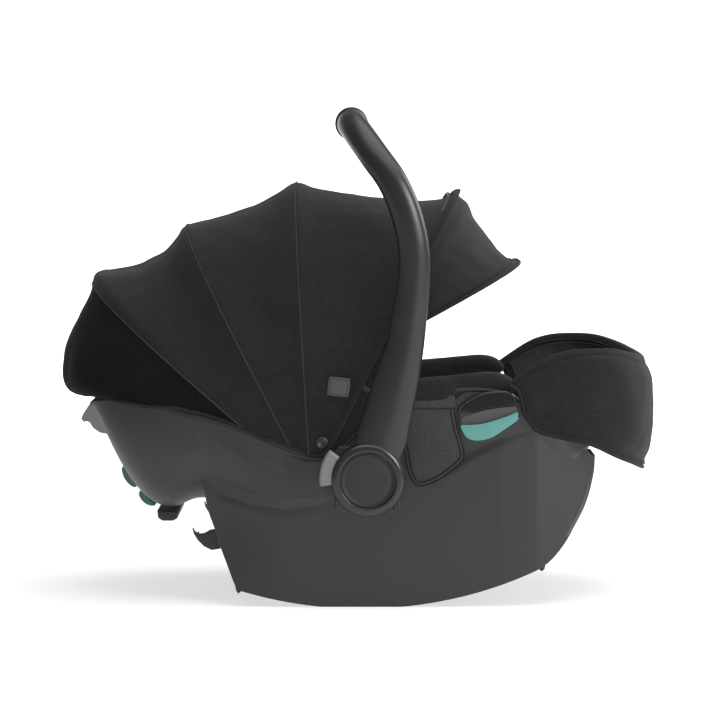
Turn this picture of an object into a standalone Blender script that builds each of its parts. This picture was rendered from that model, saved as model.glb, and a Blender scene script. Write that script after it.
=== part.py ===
"""Infant car seat with a carry handle, a folding canopy and a foot cover.

Metres, +Z up. The head end points to -X and the foot end to +X, so the child's left side is +Y.
The origin is on the floor, at the middle of the bounding box. Side outlines are drawn in
millimetres on the nominal shell and are stretched when its length, height or width is changed.
"""

import math

import bmesh
import bpy
import numpy as np
from mathutils import Matrix, Vector

MM = 0.001

# Driving sizes.
SHELL_LENGTH = 0.574        # rear rim to front rim
SHELL_HEIGHT = 0.245        # floor to the highest point of the rim
SHELL_HALF_WIDTH = 0.180    # middle plane to the outside of the bucket
SHELL_WALL = 0.004
SKIRT_PROUD = 0.0015        # how far the rocker sides stand out from the bucket
ROCKER_RADIUS = 0.480
ROCKER_FLAT = 0.0021        # height cut off the rocker to give a flat to rest on
FLANGE_WIDTH = 0.022
FIT = 0.0004                # gap between two pieces that touch
RUNNING = 0.0008            # gap around a piece that turns or slides

COVER_THICKNESS = 0.008
FOAM_GAP = 0.0030           # around the foam, on both of its faces
BOW_CHANNEL = 0.026         # room for the canopy bows between the shell and the foam

HUB_RADIUS = 0.0413
HUB_DEPTH = 0.032
HUB_LIP_RADIUS = 0.0315
HUB_LIP_DEPTH = 0.0035
HUB_CAVITY_RADIUS = 0.026
HUB_FLOOR = 0.0045
HUB_BOSS_HEIGHT = 0.0050
PIN_RADIUS = 0.008
GRIP_HEADROOM = 0.0555      # grip axis beyond the canopy's drawn reach
GRIP_RADIUS = 0.0192
CROSSBAR_RADIUS = 0.0155
GRIP_HALF_LENGTH = 0.104
ARM_THICKNESS = 0.023

BUTTON_OUTER_RADIUS = 0.055
BUTTON_INNER_RADIUS = 0.040
BUTTON_ANGLES = (142.0, 188.0)
BUTTON_TRAVEL = 0.005

BOW_RADIUS = 0.002
BOW_EYE_RADIUS = 0.009
CANOPY_PIN_RADIUS = 0.005
BOW_PITCH = 0.0046          # spacing of the bow layers on their pin
BOW_INSET = 0.0054          # shell wall to the middle of the outermost bow
FABRIC = 0.0012
FABRIC_CLEARANCE = 0.0026   # bow surface to fabric
FABRIC_SIDE = 0.0060        # bucket side to the canopy's side fabric

LATCH_SHAFT_RADIUS = 0.004
ANCHOR_BAR_RADIUS = 0.005
STRAP_WIDTH = 0.030
STRAP_THICKNESS = 0.002

# The nominal shell that the outlines are drawn on, in millimetres.
DRAWN_LENGTH = 574.0
DRAWN_HEIGHT = 245.0
DRAWN_HALF_WIDTH = 180.0
LENGTH_RATIO = SHELL_LENGTH / (DRAWN_LENGTH * MM)
HEIGHT_RATIO = SHELL_HEIGHT / (DRAWN_HEIGHT * MM)
WIDTH_RATIO = SHELL_HALF_WIDTH / (DRAWN_HALF_WIDTH * MM)

# The handle swings over the canopy, so its reach follows the canopy's.
CANOPY_DRAWN_REACH = 345.0
HANDLE_REACH = CANOPY_DRAWN_REACH * MM * LENGTH_RATIO + GRIP_HEADROOM    # hub axis to grip axis

SIDES = {"right": -1, "left": 1}


def place(x, z):
    """A point of the side outline, drawn in millimetres, as metres."""
    return x * MM * LENGTH_RATIO, z * MM * HEIGHT_RATIO


def across(y):
    """A drawn half width in metres."""
    return y * MM * WIDTH_RATIO


# Bottom x, bottom z, rim x, rim z and half width of the bucket, from the head to the foot.
BUCKET = np.array([
    (-308, 226, -308, 226, 112),
    (-299, 204, -304, 229, 127),
    (-290, 182, -294, 231, 142),
    (-276, 152, -278, 232, 154),
    (-261, 128, -254, 231, 164),
    (-243, 109, -228, 227, 171),
    (-218, 101, -200, 219, 176),
    (-188, 112, -168, 211, 179),
    (-158, 108, -130, 199, 180),
    (-118, 88, -92, 183, 180),
    (-70, 70, -56, 172, 180),
    (-15, 60, -24, 178, 180),
    (40, 59, 12, 212, 180),
    (90, 65, 56, 240, 180),
    (140, 80, 108, 245, 180),
    (185, 99, 160, 244, 179),
    (222, 121, 200, 218, 175),
    (249, 146, 234, 192, 163),
    (266, 178, 262, 183, 134),
], float)

# The same for the inner face of the seat cover.
CAVITY = np.array([
    (-288, 232, -288, 236, 72),
    (-279, 214, -284, 239, 82),
    (-266, 196, -274, 240, 97),
    (-250, 180, -258, 240, 109),
    (-230, 166, -236, 238, 119),
    (-206, 153, -212, 233, 126),
    (-178, 140, -186, 226, 131),
    (-148, 127, -156, 217, 134),
    (-116, 115, -122, 206, 135),
    (-82, 104, -88, 196, 135),
    (-46, 96, -54, 190, 135),
    (-8, 92, -20, 196, 135),
    (32, 92, 16, 216, 135),
    (74, 98, 56, 240, 135),
    (116, 110, 108, 247, 135),
    (158, 128, 156, 246, 134),
    (196, 150, 194, 224, 130),
    (228, 172, 226, 200, 116),
    (246, 190, 247, 194, 84),
], float)

SECTION_POWER = 0.59        # squareness of the bucket's cross-section
SKIRT_TOP = [(-188, 205), (-150, 198), (-105, 181), (-58, 166), (-25, 172), (15, 206), (58, 234),
             (108, 239), (158, 238), (196, 214), (226, 190), (250, 180), (265, 168)]
SKIRT_REAR = [(-188, 205), (-187, 174), (-180, 150), (-172, 125), (-169, 109), (-159, 81),
              (-151, 54), (-144, 30), (-138, 18.2)]
SKIRT_FRONT = [(265, 168), (263, 145), (254, 114), (239, 87), (220, 56), (206, 43.4)]
SKIRT_BOTTOM_X = [-138, -115, -92, -68, -43, 2, 47, 72, 98, 124, 150, 176, 206]
ROCKER_MIDDLE = 2.0

PIVOT = place(9.0, 147.0)
CANOPY_AXIS = place(-56.0, 138.0)
SKIRT_FACE = SHELL_HALF_WIDTH + SKIRT_PROUD
HUB_BOSS_FACE = SKIRT_FACE + HUB_BOSS_HEIGHT
HUB_INNER = HUB_BOSS_FACE + RUNNING
HUB_OUTER = HUB_INNER + HUB_DEPTH
ARM_MIDDLE = HUB_INNER + 0.0045 + ARM_THICKNESS / 2

# Canopy bows: angle from +X in degrees, and crown radius.
BOWS = {
    "bow_1": (139.5, 0.3310),
    "bow_2": (117.5, 0.3215),
    "bow_3": (93.5, 0.3360),
    "front_bow": (64.0, 0.3640),
}
BOW_POWER = 0.62
HEM_REAR = (160.8, 0.3085)
HEM_REAR_SIDE_ANGLE = 154.0
HEM_POWER = 0.46
CANOPY_RATIO = LENGTH_RATIO
VISOR_KINK = (64.8, 0.1735)
VISOR_TIP = (45.7, 0.3465)

COLLECTION = "infant_car_seat"
CUTTERS = "cutters"


def clear_scene():
    for obj in list(bpy.data.objects):
        bpy.data.objects.remove(obj, do_unlink=True)


def collection(name):
    found = bpy.data.collections.get(name) or bpy.data.collections.new(name)
    if found.name not in bpy.context.scene.collection.children:
        bpy.context.scene.collection.children.link(found)
    return found


def finish(name, colour, roughness, metallic=0.0):
    material = bpy.data.materials.new(name)
    material.use_nodes = True
    shader = material.node_tree.nodes["Principled BSDF"]
    shader.inputs["Base Color"].default_value = (*colour, 1.0)
    shader.inputs["Roughness"].default_value = roughness
    shader.inputs["Metallic"].default_value = metallic
    return material


def make_finishes():
    return {
        "shell": finish("shell_plastic", (0.055, 0.055, 0.058), 0.5),
        "handle": finish("handle_plastic", (0.035, 0.035, 0.037), 0.35),
        "cap": finish("cap_plastic", (0.03, 0.03, 0.032), 0.7),
        "button": finish("button_plastic", (0.13, 0.13, 0.14), 0.5),
        "fabric": finish("knit_fabric", (0.022, 0.022, 0.024), 0.95),
        "lining": finish("lining_fabric", (0.012, 0.012, 0.013), 0.95),
        "foam": finish("white_foam", (0.75, 0.75, 0.74), 0.9),
        "webbing": finish("webbing", (0.02, 0.02, 0.021), 0.8),
        "gloss": finish("gloss_plastic", (0.008, 0.008, 0.009), 0.12),
        "teal": finish("teal_plastic", (0.16, 0.51, 0.45), 0.4),
        "green": finish("green_plastic", (0.02, 0.08, 0.06), 0.4),
        "steel": finish("steel", (0.55, 0.55, 0.56), 0.3, 1.0),
        "red": finish("red_plastic", (0.45, 0.02, 0.02), 0.4),
        "black": finish("black_plastic", (0.012, 0.012, 0.013), 0.45),
    }


def add_object(name, mesh, material, guide=False):
    obj = bpy.data.objects.new(name, mesh)
    collection(CUTTERS if guide else COLLECTION).objects.link(obj)
    if guide:
        obj.hide_render = True
        obj.display_type = "WIRE"
    if material is not None:
        mesh.materials.append(material)
    return obj


def smooth_shading(mesh, degrees=35):
    mesh.shade_smooth()
    mesh.set_sharp_from_angle(angle=math.radians(degrees))


def mesh_from(name, points, faces):
    mesh = bpy.data.meshes.new(name)
    mesh.from_pydata([tuple(p) for p in points], [], faces)
    mesh.update()
    return mesh


def outward(mesh):
    """Merges doubled points and turns every face of a closed mesh outwards."""
    work = bmesh.new()
    work.from_mesh(mesh)
    bmesh.ops.remove_doubles(work, verts=work.verts, dist=1e-6)
    bmesh.ops.recalc_face_normals(work, faces=work.faces)
    work.to_mesh(mesh)
    work.free()
    smooth_shading(mesh)
    return mesh


def grid_faces(rows, columns, start=0, flip=False):
    faces = []
    for i in range(rows - 1):
        for j in range(columns - 1):
            a = start + i * columns + j
            face = (a, a + columns, a + columns + 1, a + 1)
            faces.append(face[::-1] if flip else face)
    return faces


def smooth(values, s):
    """A Catmull-Rom curve through evenly spaced values, read at s from 0 to 1."""
    values = np.asarray(values, float)
    last = len(values) - 1
    x = np.clip(np.asarray(s, float), 0.0, 1.0) * last
    i = np.minimum(x.astype(int), last - 1)
    u = x - i
    before = 2 * values[0] - values[1]
    after = 2 * values[-1] - values[-2]
    padded = np.concatenate([[before], values, [after]])
    a, b, c, d = (padded[i + k] for k in range(4))
    return 0.5 * (2 * b + (c - a) * u + (2 * a - 5 * b + 4 * c - d) * u**2
                  + (3 * b - a - 3 * c + d) * u**3)


def along(points, count):
    """A polyline's points spread evenly over its length."""
    points = np.asarray(points, float)
    steps = np.linalg.norm(np.diff(points, axis=0), axis=1)
    length = np.concatenate([[0.0], np.cumsum(steps)])
    where = np.linspace(0.0, length[-1], count)
    return np.column_stack([np.interp(where, length, points[:, k]) for k in range(points.shape[1])])


def section(table, s, drop, side, narrow=0.0):
    """Point of a bucket: drop runs from 0 at the rim to 1 at the bottom, side from -1 to 1."""
    bottom_x, bottom_z, rim_x, rim_z, half = (smooth(table[:, k], s) for k in range(5))
    x = (rim_x + (bottom_x - rim_x) * drop) * MM * LENGTH_RATIO
    z = (rim_z + (bottom_z - rim_z) * drop) * MM * HEIGHT_RATIO
    y = (half * MM * WIDTH_RATIO - narrow) * side
    return np.stack([x, y, z], axis=-1)


def bucket_grid(table, s, t, narrow=0.0):
    """Surface of a bucket over s, head to foot, and t, -1 to 1 from rim to rim."""
    s, t = np.meshgrid(s, t, indexing="ij")
    angle = (1.0 - np.abs(t)) * math.pi / 2
    drop = np.clip(np.sin(angle), 0, 1) ** SECTION_POWER
    side = np.sign(t) * np.clip(np.cos(angle), 0, 1) ** SECTION_POWER
    return section(table, s, drop, side, narrow)


def seat_surface(s, y):
    """Point of the seat cover's inner face at s and y, and its normal into the seat."""
    def point(s, y):
        half = smooth(CAVITY[:, 4], s) * MM * WIDTH_RATIO
        side = np.clip(y / half, -0.999, 0.999)
        drop = (1 - np.abs(side) ** (2 / SECTION_POWER)) ** (SECTION_POWER / 2)
        return section(CAVITY, s, drop, side)
    step = 1e-3
    run = point(s + step, y) - point(s - step, y)
    over = point(s, y + step) - point(s, y - step)
    normal = np.cross(run, over)
    normal /= np.linalg.norm(normal, axis=-1, keepdims=True)
    return point(s, y), normal


def grid_normals(points):
    """Unit normals of a grid of points, from its rows and columns."""
    run = np.gradient(points, axis=0)
    over = np.gradient(points, axis=1)
    normal = np.cross(run, over)
    length = np.linalg.norm(normal, axis=-1, keepdims=True)
    return normal / np.maximum(length, 1e-9)


def sheet(name, points, thickness, material, flip=False, guide=False):
    """An open grid with its wall on the side that its faces point away from."""
    rows, columns = points.shape[:2]
    faces = grid_faces(rows, columns, flip=flip)
    mesh = mesh_from(name, points.reshape(-1, 3), faces)
    smooth_shading(mesh)
    obj = add_object(name, mesh, material, guide)
    wall = obj.modifiers.new("wall", "SOLIDIFY")
    wall.thickness = thickness
    wall.offset = -1.0
    wall.use_even_offset = True
    return obj


def between(name, low, high, material, guide=False):
    """A closed solid between two grids of the same size, for faces that differ in shape."""
    rows, columns = low.shape[:2]
    count = rows * columns
    faces = grid_faces(rows, columns, flip=True) + grid_faces(rows, columns, start=count)
    edge = [(i, 0) for i in range(rows)]
    edge += [(rows - 1, j) for j in range(1, columns)]
    edge += [(i, columns - 1) for i in range(rows - 2, -1, -1)]
    edge += [(0, j) for j in range(columns - 2, 0, -1)]
    ring = [i * columns + j for i, j in edge]
    for a, b in zip(ring, ring[1:] + ring[:1]):
        faces.append((a, b, b + count, a + count))
    points = np.concatenate([low.reshape(-1, 3), high.reshape(-1, 3)])
    return add_object(name, outward(mesh_from(name, points, faces)), material, guide)


def seat_patch(name, s_range, centre, width, rise, material, steps=(8, 4), guide=False):
    """A piece lying on the seat: centre and width are y values at its two ends."""
    s = np.linspace(*s_range, steps[0])
    u = np.linspace(-0.5, 0.5, steps[1])
    middle = np.linspace(*centre, steps[0])
    spread = np.linspace(*width, steps[0])
    s_grid = np.repeat(s[:, None], steps[1], axis=1)
    y_grid = middle[:, None] + spread[:, None] * u[None, :]
    points, normals = seat_surface(s_grid, y_grid)
    return between(name, points + normals * rise[0], points + normals * rise[1], material, guide)


def to_mesh(obj, material, guide=False):
    """Turns a curve object into a closed mesh object in world space."""
    name = obj.name
    obj.name = name + "_curve"
    bpy.context.view_layer.update()
    evaluated = obj.evaluated_get(bpy.context.evaluated_depsgraph_get())
    mesh = bpy.data.meshes.new_from_object(evaluated)
    mesh.transform(obj.matrix_world)
    mesh.materials.clear()
    mesh.name = name
    outward(mesh)
    curve = obj.data
    bpy.data.objects.remove(obj, do_unlink=True)
    bpy.data.curves.remove(curve)
    return add_object(name, mesh, material, guide)


def plate(name, outlines, y_low, y_high, material, guide=False):
    """A flat outline in the XZ plane, with any holes, spread from y_low to y_high."""
    curve = bpy.data.curves.new(name, "CURVE")
    curve.dimensions = "2D"
    curve.fill_mode = "BOTH"
    curve.extrude = abs(y_high - y_low) / 2
    for outline in outlines:
        spline = curve.splines.new("POLY")
        spline.points.add(len(outline) - 1)
        for point, (x, z) in zip(spline.points, outline):
            point.co = (x, z, 0.0, 1.0)
        spline.use_cyclic_u = True
    obj = bpy.data.objects.new(name, curve)
    collection(COLLECTION).objects.link(obj)
    obj.rotation_euler = (math.pi / 2, 0.0, 0.0)
    obj.location = (0.0, (y_low + y_high) / 2, 0.0)
    return to_mesh(obj, material, guide)


def tube(name, points, radius, material, guide=False, resolution=2):
    """A round bar through the points."""
    curve = bpy.data.curves.new(name, "CURVE")
    curve.dimensions = "3D"
    curve.bevel_depth = radius
    curve.bevel_resolution = resolution
    curve.use_fill_caps = True
    spline = curve.splines.new("POLY")
    spline.points.add(len(points) - 1)
    for point, where in zip(spline.points, points):
        point.co = (*where, 1.0)
    obj = bpy.data.objects.new(name, curve)
    collection(COLLECTION).objects.link(obj)
    return to_mesh(obj, material, guide)


def drum(name, radius, y_low, y_high, centre, material, sides=32, guide=False, end_radius=None):
    """A cylinder or cone along Y at (x, z)."""
    work = bmesh.new()
    far = radius if end_radius is None else end_radius
    bmesh.ops.create_cone(work, cap_ends=True, segments=sides, radius1=radius, radius2=far,
                          depth=abs(y_high - y_low))
    turn = Matrix.Rotation(-math.pi / 2, 4, "X")
    shift = Matrix.Translation((centre[0], (y_low + y_high) / 2, centre[1]))
    bmesh.ops.transform(work, matrix=shift @ turn, verts=work.verts)
    mesh = bpy.data.meshes.new(name)
    work.to_mesh(mesh)
    work.free()
    smooth_shading(mesh)
    return add_object(name, mesh, material, guide)


def combine(obj, other, operation, solver="EXACT"):
    change = obj.modifiers.new(operation.lower(), "BOOLEAN")
    change.operation = operation
    change.object = other
    change.solver = solver
    return obj


def arc(centre, radius, start, end, count):
    """Points of an arc in the XZ plane, angles in degrees from +X towards +Z."""
    angles = np.radians(np.linspace(start, end, count))
    return [(centre[0] + radius * math.cos(a), centre[1] + radius * math.sin(a)) for a in angles]


def circle(centre, radius, count=24):
    return arc(centre, radius, 0.0, 360.0 * (1 - 1 / count), count)


def rim_height(x):
    """Height of the bucket's rim at x, in metres."""
    rim_x = BUCKET[:, 2] * MM * LENGTH_RATIO
    return float(np.interp(x, rim_x, BUCKET[:, 3])) * MM * HEIGHT_RATIO


def skirt_face(x):
    """Distance of the rocker side from the middle plane at x."""
    rim_x = BUCKET[:, 2] * MM * LENGTH_RATIO
    return np.interp(x, rim_x, BUCKET[:, 4]) * MM * WIDTH_RATIO + SKIRT_PROUD


def rocker_height(x):
    """Height of the rocker's bottom at a drawn x, in metres: an arc with a flat at its lowest."""
    radius = ROCKER_RADIUS
    run = (x - ROCKER_MIDDLE) * MM
    return max(radius - math.sqrt(radius**2 - run**2) - ROCKER_FLAT, 0.0)


# ---------------------------------------------------------------- shell

def skirt_grid(side):
    """The rocker side: a patch between its four edges, ending in a flange turned inwards."""
    columns = len(SKIRT_BOTTOM_X)
    rows = 8
    bottom = np.array([(x, rocker_height(x) / (MM * HEIGHT_RATIO)) for x in SKIRT_BOTTOM_X])
    top = along(SKIRT_TOP, columns)
    rear = along(SKIRT_REAR, rows)
    front = along(SKIRT_FRONT, rows)
    rear[-1] = bottom[0]
    front[-1] = bottom[-1]
    u = np.linspace(0, 1, columns)[:, None, None]
    v = np.linspace(0, 1, rows)[None, :, None]
    ruled = (1 - v) * top[:, None] + v * bottom[:, None] + (1 - u) * rear[None] + u * front[None]
    corners = ((1 - u) * (1 - v) * top[0] + u * (1 - v) * top[-1]
               + (1 - u) * v * bottom[0] + u * v * bottom[-1])
    flat = ruled - corners
    x = flat[..., 0] * MM * LENGTH_RATIO
    z = flat[..., 1] * MM * HEIGHT_RATIO
    points = np.stack([x, side * skirt_face(x), z], axis=-1)
    flange = points[:, -1:].copy()
    flange[..., 1] -= side * FLANGE_WIDTH
    return np.concatenate([points, flange], axis=1)


def make_shell(f):
    s = np.linspace(0, 1, 21)
    t = np.linspace(-1, 1, 13)
    shell = sheet("outer_shell", bucket_grid(BUCKET, s, t), SHELL_WALL, f["shell"], flip=True)
    for side_name, side in SIDES.items():
        skirt = sheet("rocker_" + side_name, skirt_grid(side), SHELL_WALL, None,
                      flip=side < 0, guide=True)
        combine(shell, skirt, "UNION", "MANIFOLD")
    for side_name, side in SIDES.items():
        boss = plate("hub_boss_" + side_name, [hub_boss_outline()],
                     side * (SKIRT_FACE - SHELL_WALL / 2), side * HUB_BOSS_FACE, None, guide=True)
        combine(shell, boss, "UNION", "MANIFOLD")
    for side_name, side in SIDES.items():
        hole = drum("pin_hole_" + side_name, PIN_RADIUS + FIT, side * 0.8 * SHELL_HALF_WIDTH,
                    side * (SKIRT_FACE + 0.01), PIVOT, None, guide=True)
        combine(shell, hole, "DIFFERENCE", "MANIFOLD")


def hub_boss_outline():
    """The square boss behind the hub, with its corners cut."""
    low_x, high_x = PIVOT[0] - 0.037, PIVOT[0] + 0.037
    low_z, high_z = PIVOT[1] - 0.040, PIVOT[1] + 0.036
    cut = 0.004
    return [(low_x + cut, low_z), (high_x - cut, low_z), (high_x, low_z + cut),
            (high_x, high_z - cut), (high_x - cut, high_z), (low_x + cut, high_z),
            (low_x, high_z - cut), (low_x, low_z + cut)]


def make_liner(f):
    s = np.linspace(1 / 18, 17 / 18, 20)
    t = np.linspace(-1, 1, 13)
    outer = bucket_grid(BUCKET, s, t * 0.97, narrow=BOW_CHANNEL)
    outer = outer + grid_normals(outer) * (SHELL_WALL + FOAM_GAP)
    inner = bucket_grid(CAVITY, s, t * 0.97)
    inner = inner - grid_normals(inner) * (COVER_THICKNESS + FOAM_GAP)
    between("foam_liner", outer, inner, f["foam"])


def make_cover(f):
    s = np.linspace(0, 1, 19)
    t = np.linspace(-1, 1, 13)
    grid = bucket_grid(CAVITY, s, t)
    sheet("seat_cover", grid, COVER_THICKNESS, f["fabric"])


BOLSTER_LIFT = 0.0035        # over the shell's rim


def make_bolsters(f):
    start, end = place(32, 0)[0], place(166, 0)[0]
    xs = np.linspace(start, end, 10)
    inner = across(135) + COVER_THICKNESS + 0.0012
    guide_start = place(106, 0)[0]
    guide_top = place(0, 246)[1]
    outer = SKIRT_FACE + 0.0045
    for side_name, side in SIDES.items():
        low, high = [], []
        for i, x in enumerate(xs):
            swell = math.sin(math.pi * (0.12 + 0.76 * i / (len(xs) - 1))) ** 0.6
            base = rim_height(x) + BOLSTER_LIFT
            if x > guide_start:
                base = max(base, guide_top + FIT)
            ys = np.linspace(inner, outer, 6)
            crown = np.sin(np.linspace(0.25, math.pi - 0.25, 6)) ** 0.6
            low.append([(x, side * y, base) for y in ys])
            high.append([(x, side * y, base + 0.0025 + 0.0125 * swell * c)
                         for y, c in zip(ys, crown)])
        between("bolster_" + side_name, np.array(low), np.array(high), f["fabric"])


FLAP = [(32, 212), (58, 238), (106, 241), (107.5, 225), (110.5, 205), (115, 190), (119, 172),
        (114, 162), (84, 141), (68, 136), (59, 140), (52, 160), (48.5, 182), (38, 198)]


def make_flaps(f):
    outline = [place(x, z) for x, z in FLAP]
    for side_name, side in SIDES.items():
        plate("side_flap_" + side_name, [outline], side * (SKIRT_FACE + FIT),
              side * (SKIRT_FACE + FIT + 0.004), f["fabric"])


# Foot cover: top edge, fullest line and lower edge, from its opening round to the nose.
FOOT_TOP = [(172, 186, 257), (204, 185, 279), (236, 181, 290), (268, 171, 293), (298, 150, 290),
            (322, 112, 281), (334, 62, 273), (338, 0, 270)]
FOOT_FULL = [(181, 187.5, 243), (206, 187.5, 238), (240, 185, 240), (276, 176, 235),
             (308, 156, 228), (329, 118, 218), (339, 66, 210), (342.5, 0, 206)]
FOOT_LOW = [(189, 187, 214), (202, 186.5, 199), (230, 182, 191), (262, 172, 183),
            (292, 150, 168), (316, 112, 156), (329, 62, 147), (334, 0, 143)]
FOOT_WALL = 0.005


def make_foot_cover(f):
    rows = []
    for half in (FOOT_TOP, FOOT_FULL, FOOT_LOW):
        whole = [(x, -y, z) for x, y, z in half] + [(x, y, z) for x, y, z in half[-2::-1]]
        rows.append([(*place(x, z), across(y)) for x, y, z in whole])
    rows = np.array(rows)[..., [0, 2, 1]]
    v = np.linspace(0, 1, 5)[:, None]
    count = rows.shape[1]
    grid = np.array([
        [[float(smooth(rows[:, j, k], level[0])) for k in range(3)] for j in range(count)]
        for level in v])
    sheet("foot_cover", grid, FOOT_WALL, f["fabric"], flip=True)
    floor = [(253, 140, 199), (270, 132, 192), (286, 120, 181), (302, 100, 172), (318, 58, 165)]
    low = []
    for x, half, z in floor:
        px, pz = place(x, z)
        low.append([(px, across(half) * u, pz) for u in np.linspace(-1, 1, 7)])
    low = np.array(low)
    sheet("foot_cover_floor", low, FOOT_WALL, f["lining"])


# ---------------------------------------------------------------- seat furniture

SEAT_GAP = 0.0030           # pads and fittings lie this far over the seat cover
INSERT_RISE = 0.0160
HARNESS_RISE = INSERT_RISE + 0.0016
BUCKLE_S = (0.600, 0.688)
BUCKLE_RISE = (HARNESS_RISE, HARNESS_RISE + 0.017)
BUCKLE_BUTTON_S = (0.622, 0.662)
BUTTON_WELL = 0.0105
ADJUSTER_S = (0.790, 0.845)
ADJUSTER_RISE = (SEAT_GAP, 0.0150)
ADJUSTER_BUTTON_S = (0.802, 0.830)


def make_pads(f):
    seat_patch("body_insert", (0.31, 0.745), (0, 0), (across(196), across(206)),
               (SEAT_GAP, INSERT_RISE), f["fabric"], steps=(12, 8))
    seat_patch("head_pad", (0.085, 0.295), (0, 0), (across(132), across(216)),
               (SEAT_GAP, 0.0170), f["fabric"], steps=(8, 8))


def make_harness(f):
    for side_name, side in SIDES.items():
        seat_patch("harness_strap_" + side_name, (0.33, 0.570),
                   (side * 0.046, side * 0.021), (STRAP_WIDTH, STRAP_WIDTH),
                   (HARNESS_RISE, HARNESS_RISE + STRAP_THICKNESS), f["webbing"], steps=(9, 3))
        seat_patch("shoulder_pad_" + side_name, (0.345, 0.485),
                   (side * 0.0450, side * 0.0305), (0.046, 0.042),
                   (HARNESS_RISE + STRAP_THICKNESS + FIT, HARNESS_RISE + 0.0100),
                   f["fabric"], steps=(7, 4))
    seat_patch("buckle_tongue", (0.574, 0.597), (0, 0), (0.066, 0.040),
               (HARNESS_RISE + 0.001, HARNESS_RISE + 0.0050), f["steel"], steps=(3, 5))
    buckle = seat_patch("buckle_body", BUCKLE_S, (0, 0), (0.046, 0.040), BUCKLE_RISE,
                        f["black"], steps=(6, 5))
    well = seat_patch("buckle_well", BUCKLE_BUTTON_S, (0, 0), (0.026, 0.026),
                      (BUCKLE_RISE[1] - BUTTON_WELL, BUCKLE_RISE[1] + 0.01), None,
                      steps=(3, 3), guide=True)
    combine(buckle, well, "DIFFERENCE")
    seat_patch("crotch_strap", (0.692, 0.740), (0, 0), (STRAP_WIDTH, STRAP_WIDTH),
               (HARNESS_RISE, HARNESS_RISE + STRAP_THICKNESS), f["webbing"], steps=(4, 3))
    housing = seat_patch("adjuster_housing", ADJUSTER_S, (0, 0), (0.050, 0.046), ADJUSTER_RISE,
                         f["black"], steps=(5, 5))
    well = seat_patch("adjuster_well", ADJUSTER_BUTTON_S, (0, 0), (0.026, 0.026),
                      (ADJUSTER_RISE[1] - BUTTON_WELL, ADJUSTER_RISE[1] + 0.01), None,
                      steps=(3, 3), guide=True)
    combine(housing, well, "DIFFERENCE")
    seat_patch("adjuster_strap", (0.850, 0.935), (0, 0), (0.025, 0.025),
               (SEAT_GAP, SEAT_GAP + STRAP_THICKNESS), f["webbing"], steps=(6, 3))


def make_push_buttons(f):
    for name, span, top in (("buckle_button", BUCKLE_BUTTON_S, BUCKLE_RISE[1]),
                            ("adjuster_button", ADJUSTER_BUTTON_S, ADJUSTER_RISE[1])):
        middle = (span[0] + span[1]) / 2
        normal = seat_surface(np.array([middle]), np.array([0.0]))[1][0]
        start, end = (seat_surface(np.array([v]), np.array([0.0]))[0][0] for v in span)
        point = (start + end) / 2
        length = float(np.linalg.norm(end - start)) - 6 * RUNNING
        work = bmesh.new()
        bmesh.ops.create_cube(work, size=1.0)
        bmesh.ops.scale(work, vec=(length, 0.026 - 2 * RUNNING, 0.0060), verts=work.verts)
        bmesh.ops.bevel(work, geom=work.edges, offset=0.0008, segments=2, affect="EDGES")
        mesh = bpy.data.meshes.new(name)
        work.to_mesh(mesh)
        work.free()
        smooth_shading(mesh)
        obj = add_object(name, mesh, f["red"] if name == "buckle_button" else f["button"])
        obj.rotation_euler = (0.0, math.atan2(normal[0], normal[2]), 0.0)
        obj.location = Vector(point) + Vector(normal) * (top - 0.0010)


# ---------------------------------------------------------------- belt guides and rear pieces

GUIDE = [(110.5, 224), (121, 235), (139, 243.5), (157, 245.5), (168, 244.5), (175.5, 238),
         (177.5, 216), (164, 205), (148, 195), (130, 191.5), (119.5, 196), (114, 206)]
GUIDE_LIP_TOP = [(113.5, 207), (135, 208.5), (157, 214.5), (177, 222)]
GUIDE_LIP_LOW = [(177, 213), (164, 203.5), (148, 193.5), (131, 190), (119, 194.5)]
GUIDE_PLATE = 0.0056
BELT_SLOT = 0.0055
GUIDE_LIP = 0.003


def make_belt_guides(f):
    outline = [place(x, z) for x, z in GUIDE]
    lip = [place(x, z) for x, z in GUIDE_LIP_TOP + GUIDE_LIP_LOW]
    ledge_top = [(x + 1.0, z + 3.0) for x, z in GUIDE_LIP_LOW[::-1]]
    ledge = [place(x, z) for x, z in GUIDE_LIP_LOW + ledge_top]
    inner = SKIRT_FACE + FIT
    face = inner + GUIDE_PLATE
    for side_name, side in SIDES.items():
        plate("belt_guide_" + side_name, [outline], side * inner, side * face, f["gloss"])
        front = plate("belt_guide_lip_" + side_name, [lip], side * (face + BELT_SLOT),
                      side * (face + BELT_SLOT + GUIDE_LIP), f["teal"])
        foot = plate("lip_ledge_" + side_name, [ledge], side * (face + FIT),
                     side * (face + BELT_SLOT + GUIDE_LIP / 2), None, guide=True)
        combine(front, foot, "UNION")


def rear_lug(name, rows, depth, half, material):
    """A hooked lug that follows the bucket's back from one station row to another."""
    s = np.linspace(rows[0], rows[1], 9) / (len(BUCKET) - 1)
    x = smooth(BUCKET[:, 0], s)
    z = smooth(BUCKET[:, 1], s)
    run = np.column_stack([np.gradient(x), np.gradient(z)])
    run /= np.linalg.norm(run, axis=1, keepdims=True)
    out = np.column_stack([run[:, 1], -run[:, 0]])
    swell = np.sin(np.linspace(0.0, math.pi, 9)) ** 0.5
    near = np.column_stack([x, z]) + out * 1.4
    far = near + out * (0.8 + depth * swell)[:, None]
    outline = [place(px, pz) for px, pz in np.concatenate([near, far[::-1]])]
    plate(name, [outline], -half, half, material)


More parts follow.
